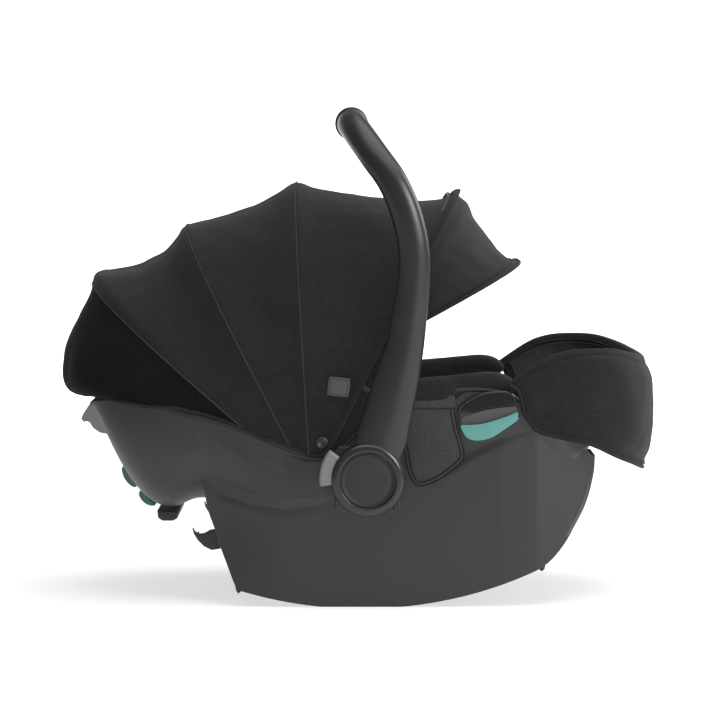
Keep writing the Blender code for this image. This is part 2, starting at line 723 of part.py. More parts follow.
LEVER = [(-311, 222), (-317, 219), (-323.5, 209), (-326, 203), (-323, 199), (-319, 200),
         (-316, 198.5), (-312, 192), (-304, 186.5), (-295.5, 185), (-294.5, 189.5),
         (-308.5, 222)]
BUMPER = [(-235, 99), (-234, 91), (-229, 87.5), (-217, 87.5), (-212, 90), (-211, 98)]
LATCH_AXIS = place(-150, 76)
HOOK = [(-191, 87), (-188, 82.5), (-183, 79.5), (-177, 80.5), (-171, 84), (-160, 86),
        (-150, 84.5), (-143, 81), (-142, 74), (-148, 68), (-158, 63), (-169, 61), (-178, 65.5),
        (-185, 72.5), (-189.5, 80)]


def make_rear_pieces(f):
    rear_lug("rear_belt_guide_upper", (3.1, 4.1), 5.0, across(62), f["green"])
    rear_lug("rear_belt_guide_lower", (4.35, 5.25), 5.0, across(62), f["green"])
    plate("rear_bumper", [[place(x, z) for x, z in BUMPER]], -across(85), across(85), f["black"])
    plate("release_lever", [[place(x, z) for x, z in LEVER]], -across(45), across(45), f["shell"])


def make_latch(f):
    hook_outline = [place(x, z) for x, z in HOOK]
    hooks = drum("latch_hooks", LATCH_SHAFT_RADIUS, -across(166), across(166), LATCH_AXIS,
                 f["black"], sides=20)
    for side_name, side in SIDES.items():
        hook = plate("hook_" + side_name, [hook_outline], side * across(144), side * across(152),
                     None, guide=True)
        combine(hooks, hook, "UNION")
    ear = [place(-162, 95), place(-163, 84), place(-156, 67), place(-144, 67), place(-140, 84),
           place(-141, 93)]
    beam = [place(-162, 95), place(-162.5, 86.5), place(-140.5, 86.5), place(-141, 93)]
    bracket = plate("latch_bracket", [beam], -across(124), across(124), f["black"])
    for side_name, side in SIDES.items():
        lug = plate("bracket_ear_" + side_name, [ear, circle(LATCH_AXIS, LATCH_SHAFT_RADIUS + FIT)],
                    side * across(118), side * across(125), None, guide=True)
        combine(bracket, lug, "UNION")


def make_anchor_bars(f):
    for name, x, z in (("front_anchor_bar", 150, 54), ("rear_anchor_bar", -108, 46)):
        px, pz = place(x, z)
        reach = skirt_face(px) - SHELL_WALL - 2 * FIT
        drum(name, ANCHOR_BAR_RADIUS, -reach, reach, (px, pz), f["steel"], sides=16)


# ---------------------------------------------------------------- handle

# Arm: x and z of its middle line, width across it, distance in from the hub's plane, thickness.
ARM = [
    (13, 160, 58, 0, 23), (23.6, 188, 58, 0, 23), (31, 219, 54, 0, 23), (41.5, 261, 50, 0, 23),
    (50, 295, 43, 0, 23), (55, 329, 40, 0, 24), (59.5, 362, 37, 0, 25), (60.8, 392, 35.5, 0, 27),
    (57.6, 421, 35, 1, 29), (48.5, 454, 34.5, 4, 31), (35, 483, 34, 12, 33),
    (18, 507, 34, 28, 34), (3, 528, 34, 52, 34), (-6.5, 541.5, 34, 78, 34),
    (-9.7, 546.4, 34, 100, 34),
]
ARM_DRAWN_REACH = 0.4


def arm_rings(side, count=16):
    """Rings of the arm: a rounded section that turns from the arm's plane into the grip."""
    drawn = np.array(ARM, float)
    scale = HANDLE_REACH / (ARM_DRAWN_REACH)
    x = PIVOT[0] + (drawn[:, 0] - 9.0) * MM * scale
    z = PIVOT[1] + (drawn[:, 1] - 147.0) * MM * scale
    inset = drawn[:, 3] / 100.0 * (ARM_MIDDLE - GRIP_HALF_LENGTH - FIT)
    y = side * (ARM_MIDDLE - inset)
    middle = np.column_stack([x, y, z])
    run = np.gradient(middle, axis=0)
    run[-1] = (0.0, -side, 0.0)
    run /= np.linalg.norm(run, axis=1, keepdims=True)
    wide = np.column_stack([run[:, 2], np.zeros(len(run)), -run[:, 0]])
    wide[-2:] = wide[-3]
    wide /= np.linalg.norm(wide, axis=1, keepdims=True)
    thick = np.cross(run, wide)
    thick /= np.linalg.norm(thick, axis=1, keepdims=True)
    angle = np.linspace(0, 2 * math.pi, count, endpoint=False)
    power = np.linspace(0.75, 1.0, len(drawn))[:, None]
    c = np.sign(np.cos(angle)) * np.abs(np.cos(angle)) ** power
    s = np.sign(np.sin(angle)) * np.abs(np.sin(angle)) ** power
    half_width = drawn[:, 2, None, None] * MM / 2
    half_thick = drawn[:, 4, None, None] * MM / 2 * (ARM_THICKNESS / 0.023)
    return (middle[:, None] + wide[:, None] * c[..., None] * half_width
            + thick[:, None] * s[..., None] * half_thick)


def loft(name, rings, material, guide=False):
    """A closed skin over rings of points, with flat ends."""
    count, sides = rings.shape[:2]
    faces = []
    for i in range(count - 1):
        for j in range(sides):
            a, b = i * sides + j, i * sides + (j + 1) % sides
            faces.append((a, b, b + sides, a + sides))
    faces.append(tuple(range(sides))[::-1])
    faces.append(tuple(range((count - 1) * sides, count * sides)))
    return add_object(name, outward(mesh_from(name, rings.reshape(-1, 3), faces)), material, guide)


def sector(inner, outer, start, end, count=8):
    return arc(PIVOT, inner, start, end, count) + arc(PIVOT, outer, end, start, count)


def make_handle(f):
    lip_floor = HUB_OUTER - HUB_LIP_DEPTH
    cavity_floor = HUB_INNER + HUB_FLOOR
    for side_name, side in SIDES.items():
        arm = drum("handle_arm_" + side_name, HUB_RADIUS, side * HUB_INNER, side * HUB_OUTER,
                   PIVOT, f["handle"], sides=48)
        rise = loft("arm_rise_" + side_name, arm_rings(side), None, guide=True)
        combine(arm, rise, "UNION")
        cuts = (("lip", HUB_LIP_RADIUS, lip_floor, HUB_OUTER + 0.01, 40),
                ("well", HUB_CAVITY_RADIUS, cavity_floor, HUB_OUTER + 0.01, 32),
                ("bore", PIN_RADIUS + FIT, HUB_INNER - 0.01, HUB_OUTER + 0.01, 24))
        for label, radius, start, end, sides in cuts:
            cutter = drum(f"hub_{label}_{side_name}", radius, side * start, side * end, PIVOT,
                          None, sides=sides, guide=True)
            combine(arm, cutter, "DIFFERENCE")
        pocket = plate("button_pocket_" + side_name,
                       [sector(BUTTON_INNER_RADIUS - BUTTON_TRAVEL - RUNNING,
                               BUTTON_OUTER_RADIUS + 0.01, BUTTON_ANGLES[0] - 5,
                               BUTTON_ANGLES[1] + 5, 10)],
                       side * (HUB_INNER + 0.0065), side * (HUB_OUTER - 0.0065), None, guide=True)
        combine(arm, pocket, "DIFFERENCE")
    scale = HANDLE_REACH / ARM_DRAWN_REACH
    grip = (PIVOT[0] + (ARM[-1][0] - 9.0) * MM * scale, PIVOT[1] + (ARM[-1][1] - 147.0) * MM * scale)
    reach = GRIP_HALF_LENGTH - FIT
    drum("handle_crossbar", CROSSBAR_RADIUS, -reach, reach, grip, f["steel"], sides=24)
    sleeve = drum("handle_grip", GRIP_RADIUS, -reach, reach, grip, f["handle"], sides=32)
    bore = drum("grip_bore", CROSSBAR_RADIUS + FIT, -reach - 0.01, reach + 0.01, grip, None,
                sides=24, guide=True)
    combine(sleeve, bore, "DIFFERENCE")


def gear_outline(teeth=12):
    points = []
    for k in range(teeth):
        base = 360.0 * k / teeth
        for turn, radius in ((-10, 0.0185), (-5, 0.0225), (5, 0.0225), (10, 0.0185)):
            points += arc(PIVOT, radius, base + turn, base + turn, 1)
    return points


def make_hub_parts(f):
    floor = HUB_INNER + HUB_FLOOR
    lip_floor = HUB_OUTER - HUB_LIP_DEPTH
    gear_low, gear_high = floor + 0.003, floor + 0.010
    head_low = gear_high + RUNNING
    head_high = head_low + 0.003
    spring_radius = 0.0175
    wire = 0.0009
    for side_name, side in SIDES.items():
        drum("hub_cap_" + side_name, HUB_LIP_RADIUS - RUNNING, side * (lip_floor + FIT),
             side * (HUB_OUTER - 0.0004), PIVOT, f["cap"], sides=40)
        plate("lock_gear_" + side_name, [gear_outline(), circle(PIVOT, PIN_RADIUS + FIT)],
              side * gear_low, side * gear_high, f["button"])
        turns = 3.5
        low, high = gear_high + wire + FIT, lip_floor - wire - FIT
        coil = []
        for k in range(int(turns * 12) + 1):
            angle = 2 * math.pi * k / 12
            rise = low + (high - low) * k / (turns * 12)
            coil.append((PIVOT[0] + spring_radius * math.cos(angle), side * rise,
                         PIVOT[1] + spring_radius * math.sin(angle)))
        tube("hub_spring_" + side_name, coil, wire, f["steel"], resolution=0)
        pin = drum("pivot_pin_" + side_name, PIN_RADIUS, side * (SHELL_HALF_WIDTH - 0.018),
                   side * (head_low + 0.001), PIVOT, f["steel"], sides=20)
        head = drum("pin_head_" + side_name, 0.0125, side * head_low, side * head_high, PIVOT,
                    None, sides=20, guide=True)
        combine(pin, head, "UNION")
        plate("release_button_" + side_name,
              [sector(BUTTON_INNER_RADIUS, BUTTON_OUTER_RADIUS, *BUTTON_ANGLES)],
              side * (HUB_INNER + 0.0065 + RUNNING), side * (HUB_OUTER - 0.0065 - RUNNING),
              f["button"])


# ---------------------------------------------------------------- canopy

def bow_arch(radius, half, power, low, count):
    """Radius and y of an arch from one side to the other: a squared half ellipse."""
    angle = np.linspace(low, math.pi - low, count)
    r = radius * np.sin(angle) ** power
    y = -half * np.sign(np.cos(angle)) * np.abs(np.cos(angle)) ** power
    return r, y


def canopy_point(angle, radius, y):
    """A point at an angle and radius about the canopy's axis."""
    turn = np.radians(angle)
    x = CANOPY_AXIS[0] + radius * np.cos(turn)
    z = CANOPY_AXIS[1] + radius * np.sin(turn)
    return np.stack(np.broadcast_arrays(x, y, z), axis=-1)


def bow_layer(index):
    """Distance from the middle plane of a bow's eye, the front bow outermost."""
    return SHELL_HALF_WIDTH - SHELL_WALL - BOW_INSET - (3 - index) * BOW_PITCH


def make_bows(f):
    for index, (name, (angle, radius)) in enumerate(BOWS.items()):
        half = bow_layer(index)
        r, y = bow_arch(radius * CANOPY_RATIO, half, BOW_POWER, 0.02, 25)
        r[0] = r[-1] = 0.0
        y[0], y[-1] = -half, half
        points = canopy_point(angle, r, y)
        bow = tube(name, points, BOW_RADIUS, f["black"], resolution=1)
        for side_name, side in SIDES.items():
            eye = drum(f"{name}_eye_{side_name}", BOW_EYE_RADIUS, side * (half - 0.0019),
                       side * (half + 0.0019), CANOPY_AXIS, None, sides=20, guide=True)
            combine(bow, eye, "UNION")
        for side_name, side in SIDES.items():
            bore = drum(f"{name}_bore_{side_name}", CANOPY_PIN_RADIUS + FIT,
                        side * (half - 0.01), side * (half + 0.01), CANOPY_AXIS, None,
                        sides=16, guide=True)
            combine(bow, bore, "DIFFERENCE")
    for side_name, side in SIDES.items():
        drum("canopy_pin_" + side_name, CANOPY_PIN_RADIUS, side * (bow_layer(0) - 0.0035),
             side * (bow_layer(3) + 0.0019), CANOPY_AXIS, f["black"], sides=16)


# Hem of the canopy's side, as angle and radius about its axis.
HEM = [(64.0, 0.046), (72.0, 0.036), (93.5, 0.034), (118.7, 0.049), (135.5, 0.078),
       (142.0, 0.117), (149.5, 0.169), (154.0, 0.250)]


def hem_radius(angle):
    angles, radii = zip(*HEM)
    return np.interp(angle, angles, radii) * CANOPY_RATIO


def gore(name, start, end, sag, material, columns=5, rows=17):
    """Fabric between two bows: arches turned from one angle to the next, slack in between.

    An edge is its crown's angle, its crown's radius, its sides' angle and its squareness.
    """
    side_half = SHELL_HALF_WIDTH + FABRIC_SIDE
    gap = 0.12
    lift = BOW_RADIUS + FABRIC_CLEARANCE
    grid = []
    for u in np.linspace(0, 1, columns):
        crown_angle = start[0] + gap + (end[0] - start[0] - 2 * gap) * u
        side_angle = start[2] + gap + (end[2] - start[2] - 2 * gap) * u
        radius = (start[1] + (end[1] - start[1]) * u) * CANOPY_RATIO + lift
        radius -= sag * math.sin(math.pi * u)
        power = start[3] + (end[3] - start[3]) * u
        low = math.asin(min(float(hem_radius(side_angle)) / radius, 0.95) ** (1 / power))
        r, y = bow_arch(radius, side_half, power, low, rows)
        near_crown = 1 - np.abs(y / side_half) ** 3
        angle = side_angle + (crown_angle - side_angle) * near_crown
        grid.append(canopy_point(angle, r, y))
    return sheet(name, np.array(grid), FABRIC, material, flip=False)


def make_canopy_fabric(f):
    edges = [(angle, radius, angle, BOW_POWER) for angle, radius in reversed(BOWS.values())]
    hem_crown = HEM_REAR[1] - BOW_RADIUS - FABRIC_CLEARANCE
    edges.append((HEM_REAR[0], hem_crown, HEM_REAR_SIDE_ANGLE, HEM_POWER))
    names = ("canopy_fabric_front", "canopy_fabric_middle", "canopy_fabric_rear",
             "canopy_fabric_back")
    sags = (0.010, 0.008, 0.006, 0.001)
    for name, start, end, sag in zip(names, edges, edges[1:], sags):
        gore(name, start, end, sag, f["fabric"])


def polar(angle, radius):
    """A point of the middle plane at an angle and radius about the canopy's axis."""
    turn = math.radians(angle)
    return (CANOPY_AXIS[0] + radius * math.cos(turn) * CANOPY_RATIO,
            CANOPY_AXIS[1] + radius * math.sin(turn) * CANOPY_RATIO)


VISOR_WIRE_RADIUS = 0.0016
VISOR_START = 0.02
VISOR_HALF_INSET = 0.008


def visor_edge(u, count=17):
    """The visor's arch at u, from 0 beside the front bow to 1 at its free edge."""
    kink = np.array(polar(*VISOR_KINK))
    tip = np.array(polar(*VISOR_TIP))
    crown = np.array(polar(BOWS["front_bow"][0], BOWS["front_bow"][1]))
    start_turn = math.atan2(*(crown - kink)[::-1]) - 0.06
    end_turn = math.atan2(*(tip - kink)[::-1])
    turn = start_turn + (end_turn - start_turn) * u
    reach = np.linalg.norm(crown - kink) - 0.006
    end_reach = np.linalg.norm(tip - kink)
    length = reach + (end_reach - reach) * u
    half = bow_layer(3) + 0.004 - VISOR_HALF_INSET * u
    r, y = bow_arch(length, half, BOW_POWER, 0.05, count)
    x = kink[0] + r * math.cos(turn)
    z = kink[1] + r * math.sin(turn)
    return np.column_stack([x, y, z])


def make_visor(f):
    wire = visor_edge(1.0, 21)
    tube("visor_wire", wire, VISOR_WIRE_RADIUS, f["black"], resolution=1)
    grid = np.array([visor_edge(u) for u in np.linspace(0.03, 0.90, 4)])
    sheet("visor_fabric", grid, FABRIC, f["fabric"], flip=True)


def set_origins():
    """Puts each moving piece's origin on its joint's axis."""
    axes = {
        "handle": (PIVOT, ("handle_", "hub_cap", "lock_gear", "hub_spring")),
        "canopy": (CANOPY_AXIS, ("bow_", "front_bow", "canopy_fabric")),
        "visor": (polar(*VISOR_KINK), ("visor_",)),
        "latch": (LATCH_AXIS, ("latch_hooks",)),
    }
    for (x, z), prefixes in axes.values():
        shift = Vector((x, 0.0, z))
        for obj in collection(COLLECTION).objects:
            if obj.name.startswith(prefixes):
                obj.data.transform(Matrix.Translation(-shift))
                obj.location = shift


def main():
    clear_scene()
    finishes = make_finishes()
    steps = (make_shell, make_liner, make_cover, make_bolsters, make_flaps, make_foot_cover,
             make_pads, make_harness, make_push_buttons, make_belt_guides, make_rear_pieces,
             make_latch, make_anchor_bars, make_handle, make_hub_parts, make_bows,
             make_canopy_fabric, make_visor)
    for step in steps:
        step(finishes)
    set_origins()


main()
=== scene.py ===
"""Visual model of an infant car seat with a carry handle, a folding canopy and a foot cover.

Metres, +Z up, head end to -X, foot end to +X, the seated child's left to +Y.
"""

import math

import bmesh
import bpy
import numpy as np
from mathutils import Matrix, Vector


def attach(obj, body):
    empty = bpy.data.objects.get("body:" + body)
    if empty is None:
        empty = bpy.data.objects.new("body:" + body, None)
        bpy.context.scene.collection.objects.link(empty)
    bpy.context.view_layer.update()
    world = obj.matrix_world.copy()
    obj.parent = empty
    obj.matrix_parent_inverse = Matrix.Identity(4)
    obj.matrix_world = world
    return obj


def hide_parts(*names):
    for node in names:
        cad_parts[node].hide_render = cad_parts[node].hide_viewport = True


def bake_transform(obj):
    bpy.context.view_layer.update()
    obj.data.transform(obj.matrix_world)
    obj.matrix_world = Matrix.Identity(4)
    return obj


bl_info = {
    "name": "Infant car seat",
    "version": (1, 0, 0),
    "blender": (4, 5, 0),
    "location": "3D Viewport > Sidebar > Car seat",
    "description": "Builds the shell, seat, canopy, handle and fittings of an infant car seat",
    "category": "Add Mesh",
}

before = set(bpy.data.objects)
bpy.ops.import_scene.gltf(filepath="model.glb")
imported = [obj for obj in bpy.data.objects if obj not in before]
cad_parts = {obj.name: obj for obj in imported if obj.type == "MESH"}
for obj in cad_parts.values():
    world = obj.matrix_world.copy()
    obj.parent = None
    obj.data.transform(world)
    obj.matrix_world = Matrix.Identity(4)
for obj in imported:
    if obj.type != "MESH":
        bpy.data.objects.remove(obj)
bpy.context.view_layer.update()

MM = 0.001
SIDES = (("right", -1), ("left", 1))
Y = np.array((0.0, 1.0, 0.0))
PIVOT = np.array((0.009, 0.0, 0.147))
AXIS = np.array((-0.056, 0.0, 0.138))
KINK = np.array((0.01787, 0.0, 0.29499))
GRIP = np.array((-0.00972, 0.0, 0.5469))
SKIRT = 0.1815
BOSS = 0.1865
HUB_IN = 0.1873
HUB_OUT = 0.2193
GRIP_REACH = 0.4005
DRAWN_REACH = 0.4
ARM_Y = 0.2033
BOWS = ((139.5, 0.3310, 0.1568), (117.5, 0.3215, 0.1614), (93.5, 0.3360, 0.1660),
        (64.0, 0.3640, 0.1706))
BOW_BODIES = ("canopy_bow_1", "canopy_bow_2", "canopy_bow_3", "canopy_front")

BUCKET = np.array([
     (-308, 226, -308, 226, 112), (-299, 204, -304, 229, 127), (-290, 182, -294, 231, 142),
    (-276, 152, -278, 232, 154), (-261, 128, -254, 231, 164), (-243, 109, -228, 227, 171),
    (-218, 101, -200, 219, 176), (-188, 112, -168, 211, 179), (-158, 108, -130, 199, 180),
    (-118, 88, -92, 183, 180), (-70, 70, -56, 172, 180), (-15, 60, -24, 178, 180),
    (40, 59, 12, 212, 180), (90, 65, 56, 240, 180), (140, 80, 108, 245, 180),
    (185, 99, 160, 244, 179), (222, 121, 200, 218, 175), (249, 146, 234, 192, 163),
    (266, 178, 262, 183, 134)], float) * MM
CAVITY = np.array([
     (-288, 232, -288, 236, 72), (-279, 214, -284, 239, 82), (-266, 196, -274, 240, 97),
    (-250, 180, -258, 240, 109), (-230, 166, -236, 238, 119), (-206, 153, -212, 233, 126),
    (-178, 140, -186, 226, 131), (-148, 127, -156, 217, 134), (-116, 115, -122, 206, 135),
    (-82, 104, -88, 196, 135), (-46, 96, -54, 190, 135), (-8, 92, -20, 196, 135),
    (32, 92, 16, 216, 135), (74, 98, 56, 240, 135), (116, 110, 108, 247, 135),
    (158, 128, 156, 246, 134), (196, 150, 194, 224, 130), (228, 172, 226, 200, 116),
    (246, 190, 247, 194, 84)], float) * MM
SQUARE = 0.59


# ---------------------------------------------------------------- numbers

def unit(v):
    """Vectors divided by their lengths."""
    return v / np.maximum(np.linalg.norm(v, axis=-1, keepdims=True), 1e-12)


def ease(x, low, high):
    """0 below low, 1 above high and 3t^2 - 2t^3 between."""
    t = np.clip((x - low) / (high - low), 0.0, 1.0)
    return t * t * (3 - 2 * t)


def bell(x, middle, width):
    """exp(-((x - middle) / width)^2)."""
    return np.exp(-((x - middle) / width) ** 2)


def signed_power(value, power):
    """A value's size raised to a power, with its own sign: the sides of a squared ellipse."""
    return np.sign(value) * np.abs(value) ** power


def curve(values, s, closed=False):
    """A Catmull-Rom curve through rows of values, read at s from 0 to 1."""
    values = np.asarray(values, float)
    count = len(values)
    if closed:
        x = (np.asarray(s, float) % 1.0) * count
        i = np.floor(x).astype(int)
        u = x - i
        a, b, c, d = (values[(i + k) % count] for k in (-1, 0, 1, 2))
    else:
        x = np.clip(np.asarray(s, float), 0.0, 1.0) * (count - 1)
        i = np.minimum(x.astype(int), count - 2)
        u = x - i
        padded = np.concatenate([[2 * values[0] - values[1]], values, [2 * values[-1] - values[-2]]])
        a, b, c, d = (padded[i + k] for k in range(4))
    u = u.reshape(u.shape + (1,) * (values.ndim - 1))
    return 0.5 * (2 * b + (c - a) * u + (2 * a - 5 * b + 4 * c - d) * u**2
                  + (3 * b - a - 3 * c + d) * u**3)


def even(points, count, closed=False):
    """Points of a smooth curve through the given ones, evenly spaced along it."""
    fine = curve(points, np.linspace(0, 1, 40 * len(points) + 1), closed)
    if closed:
        fine[-1] = fine[0]
    run = np.concatenate([[0.0], np.cumsum(np.linalg.norm(np.diff(fine, axis=0), axis=1))])
    where = np.linspace(0.0, run[-1], count + 1 if closed else count)
    out = np.column_stack([np.interp(where, run, fine[:, k]) for k in range(fine.shape[1])])
    return out[:-1] if closed else out


def normals(points):
    """Unit normals of a grid from the cross product of its two directions."""
    return unit(np.cross(np.gradient(points, axis=0), np.gradient(points, axis=1)))


def facing(out, points, centre):
    """Normals of points, each turned to point away from a centre."""
    return out * np.sign((out * (points - np.array(centre))).sum(-1, keepdims=True))


def at_y(outline, y):
    """An (x, z) outline as points at one y."""
    return np.column_stack([outline[:, 0], np.full(len(outline), y), outline[:, 1]])


def wobble(p, scale, seed=0):
    """A smooth sum of five sine waves of one rough size, from about -1 to 1, over points p."""
    rng = np.random.default_rng(seed)
    out = 0.0
    for _ in range(5):
        way = unit(rng.normal(size=3)) * (2 * math.pi / scale) * rng.uniform(0.7, 1.4)
        out = out + np.sin(p @ way + rng.uniform(0, 2 * math.pi))
    return out / 5 ** 0.5 / 1.4


def ground(p, line):
    """Signed distance of points p (x, z) from a polyline: positive on its left-hand side."""
    a, b = line[:-1], line[1:]
    run = b - a
    rel = p[..., None, :] - a
    t = np.clip((rel * run).sum(-1) / (run * run).sum(-1), 0, 1)
    gap = rel - t[..., None] * run
    away = np.linalg.norm(gap, axis=-1)
    near = away.argmin(-1)
    turn = run[..., 0] * rel[..., 1] - run[..., 1] * rel[..., 0]
    pick = np.take_along_axis
    side = np.sign(pick(turn, near[..., None], -1)[..., 0])
    return pick(away, near[..., None], -1)[..., 0] * np.where(side == 0, 1, side)


# ---------------------------------------------------------------- meshes

def skin(name, points, wrap=False, caps=False, away=None):
    """A mesh over a grid of points, with a UV map in metres along its two directions.

    wrap joins the last column to the first, and caps closes the end rows with fans. A closed
    skin is turned outwards by its volume, an open one away from the point given.
    """
    rows, cols = points.shape[:2]
    i, j = np.meshgrid(np.arange(rows - 1), np.arange(cols if wrap else cols - 1), indexing="ij")
    k = (j + 1) % cols
    quads = np.stack([i * cols + j, (i + 1) * cols + j, (i + 1) * cols + k, i * cols + k],
                     -1).reshape(-1, 4)
    across = np.linalg.norm(np.diff(points, axis=1, append=points[:, :1]), axis=2).max(0)
    down = np.linalg.norm(np.diff(points, axis=0), axis=2).mean(1)
    u = np.concatenate([[0.0], np.cumsum(across)])
    v = np.concatenate([[0.0], np.cumsum(down)])
    uv = np.stack([np.stack([u[a], v[b]], -1) for a, b in ((j, i), (j, i + 1), (j + 1, i + 1), (j + 1, i))],
                  -2).reshape(-1, 4, 2)
    flat = points.reshape(-1, 3)
    faces, spots = quads.tolist(), uv.reshape(-1, 2)
    if caps:
        ring = np.arange(cols)
        turned = np.roll(ring, -1)
        first, last = len(flat), len(flat) + 1
        flat = np.concatenate([flat, points[0].mean(0)[None], points[-1].mean(0)[None]])
        low = np.stack([ring, turned, np.full(cols, first)], -1)
        top = (rows - 1) * cols
        high = np.stack([turned + top, ring + top, np.full(cols, last)], -1)
        faces += low.tolist() + high.tolist()
        fan = np.stack([flat[low][..., 0], flat[low][..., 2]], -1).reshape(-1, 2)
        spots = np.concatenate([spots, fan, fan])
    picked = quads if away is None else quads[:: max(1, len(quads) // 400)]
    inside = flat.mean(0) if away is None else np.asarray(away)
    face = np.cross(flat[picked[:, 2]] - flat[picked[:, 0]], flat[picked[:, 3]] - flat[picked[:, 1]])
    outward = (face * (flat[picked].mean(1) - inside)).sum() > 0
    mesh = bpy.data.meshes.new(name)
    mesh.from_pydata(flat.tolist(), [], faces)
    layer = mesh.uv_layers.new(name="UVMap")
    layer.data.foreach_set("uv", np.ascontiguousarray(spots, np.float32).ravel())
    if not outward:
        mesh.flip_normals()
    mesh.update()
    mesh.shade_smooth()
    obj = bpy.data.objects.new(name, mesh)
    bpy.context.scene.collection.objects.link(obj)
    return obj


def tube(name, path, radius, sides=10, up=(0.0, 0.0, 1.0), closed=False, flat=1.0):
    """A bar along a path: rings of radius about it, flattened along the up direction by flat."""
    path = np.asarray(path, float)
    if closed:
        run = unit(np.roll(path, -1, 0) - np.roll(path, 1, 0))
    else:
        run = unit(np.gradient(path, axis=0))
    up = np.broadcast_to(np.asarray(up, float), path.shape)
    high = unit(up - (up * run).sum(-1, keepdims=True) * run)
    side = np.cross(run, high)
    angle = np.linspace(0, 2 * math.pi, sides, endpoint=False)
    size = np.broadcast_to(np.asarray(radius, float), (len(path),))[:, None, None]
    rings = (path[:, None] + size * (np.cos(angle)[:, None] * side[:, None]
                                     + flat * np.sin(angle)[:, None] * high[:, None]))
    if closed:
        rings = np.concatenate([rings, rings[:1]])
        return weld(skin(name, rings, wrap=True))
    return skin(name, rings, wrap=True, caps=True)


def weld(obj, distance=1e-6):
    """Joins points that lie together and turns every face of the closed mesh outwards."""
    work = bmesh.new()
    work.from_mesh(obj.data)
    bmesh.ops.remove_doubles(work, verts=work.verts, dist=distance)
    bmesh.ops.recalc_face_normals(work, faces=work.faces)
    work.to_mesh(obj.data)
    work.free()
    obj.data.shade_smooth()
    return obj


def turned(name, profile, centre, side, count=96, closed=True):
    """A profile of (radius, y) turned about the Y axis through centre; side mirrors its y."""
    profile = np.asarray(profile, float)
    angle = np.linspace(0, 2 * math.pi, count, endpoint=False)
    r, y = profile[:, 0], profile[:, 1] * side
    rings = np.stack([centre[0] + r[:, None] * np.cos(angle), np.broadcast_to(y[:, None], (len(r), count)),
                      centre[2] + r[:, None] * np.sin(angle)], -1)
    if closed:
        rings = np.concatenate([rings, rings[:1]])
        return weld(skin(name, rings, wrap=True))
    return weld(skin(name, rings, wrap=True, caps=True))


def inset(outline, distance):
    """A closed outline moved inwards along its own normals."""
    run = unit(np.roll(outline, -1, 0) - np.roll(outline, 1, 0))
    area = (outline[:, 0] * np.roll(outline[:, 1], -1) - np.roll(outline[:, 0], -1) * outline[:, 1]).sum()
    inward = np.column_stack([-run[:, 1], run[:, 0]]) * np.sign(area)
    return outline + inward * distance


def slab(name, outline, y_low, y_high, edge=0.001, crown=0.0, steps=5, back=None):
    """An (x, z) outline spread over y with rounded edges; crown swells its high face.

    Rings follow the edge's quarter circles, and the high face rises as a squared cosine
    towards the outline's middle.
    """
    back = edge if back is None else back
    way = math.copysign(1.0, y_high - y_low)
    rings = []
    turns = np.linspace(0, math.pi / 2, steps)
    for turn in turns:
        rings.append(at_y(inset(outline, back * (1 - math.sin(turn))),
                          y_low + way * back * (1 - math.cos(turn))))
    for turn in turns:
        rings.append(at_y(inset(outline, edge * (1 - math.cos(turn))),
                          y_high - way * edge * (1 - math.sin(turn))))
    if crown:
        last = rings[-1]
        middle = last.mean(0)
        for t in (0.92, 0.8, 0.62, 0.4, 0.2, 0.05):
            ring = middle + (last - middle) * t
            ring[:, 1] = y_high + way * crown * (1 - t ** 2.2)
            rings.append(ring)
        return skin(name, np.array(rings), wrap=True, caps=True)
    grid = np.array(rings)
    rows, cols = grid.shape[:2]
    obj = skin(name, grid, wrap=True)
    work = bmesh.new()
    work.from_mesh(obj.data)
    work.verts.ensure_lookup_table()
    work.faces.new([work.verts[k] for k in range(cols)])
    work.faces.new([work.verts[(rows - 1) * cols + k] for k in range(cols)])
    bmesh.ops.recalc_face_normals(work, faces=work.faces)
    work.to_mesh(obj.data)
    work.free()
    flat_shade(obj, 40)
    return obj


def flat_shade(obj, degrees):
    """Smooth shading with sharp edges above an angle."""
    obj.data.shade_smooth()
    obj.data.set_sharp_from_angle(angle=math.radians(degrees))


def thicken(obj, wall, offset=-1.0, even_offset=True):
    """Gives an open skin a wall, on the side its faces point away from."""
    change = obj.modifiers.new("wall", "SOLIDIFY")
    change.thickness = wall
    change.offset = offset
    change.use_even_offset = even_offset
    apply_modifiers(obj)
    return obj


def subdivide(obj, levels=1):
    """Adds a subdivision of the same level in the view and the render."""
    change = obj.modifiers.new("smooth", "SUBSURF")
    change.levels = change.render_levels = levels
    return obj


def apply_modifiers(obj):
    """Writes an object's modifiers into its mesh."""
    bpy.context.view_layer.update()
    graph = bpy.context.evaluated_depsgraph_get()
    mesh = bpy.data.meshes.new_from_object(obj.evaluated_get(graph))
    obj.modifiers.clear()
    old = obj.data
    obj.data = mesh
    bpy.data.meshes.remove(old)


def coordinates(obj):
    """The points of an object's mesh, in metres."""
    flat = np.empty(len(obj.data.vertices) * 3, np.float32)
    obj.data.vertices.foreach_get("co", flat)
    return flat.reshape(-1, 3).astype(float)


def move(obj, points):
    """Puts the points of an object's mesh at new places."""
    obj.data.vertices.foreach_set("co", np.ascontiguousarray(points, np.float32).ravel())
    obj.data.update()


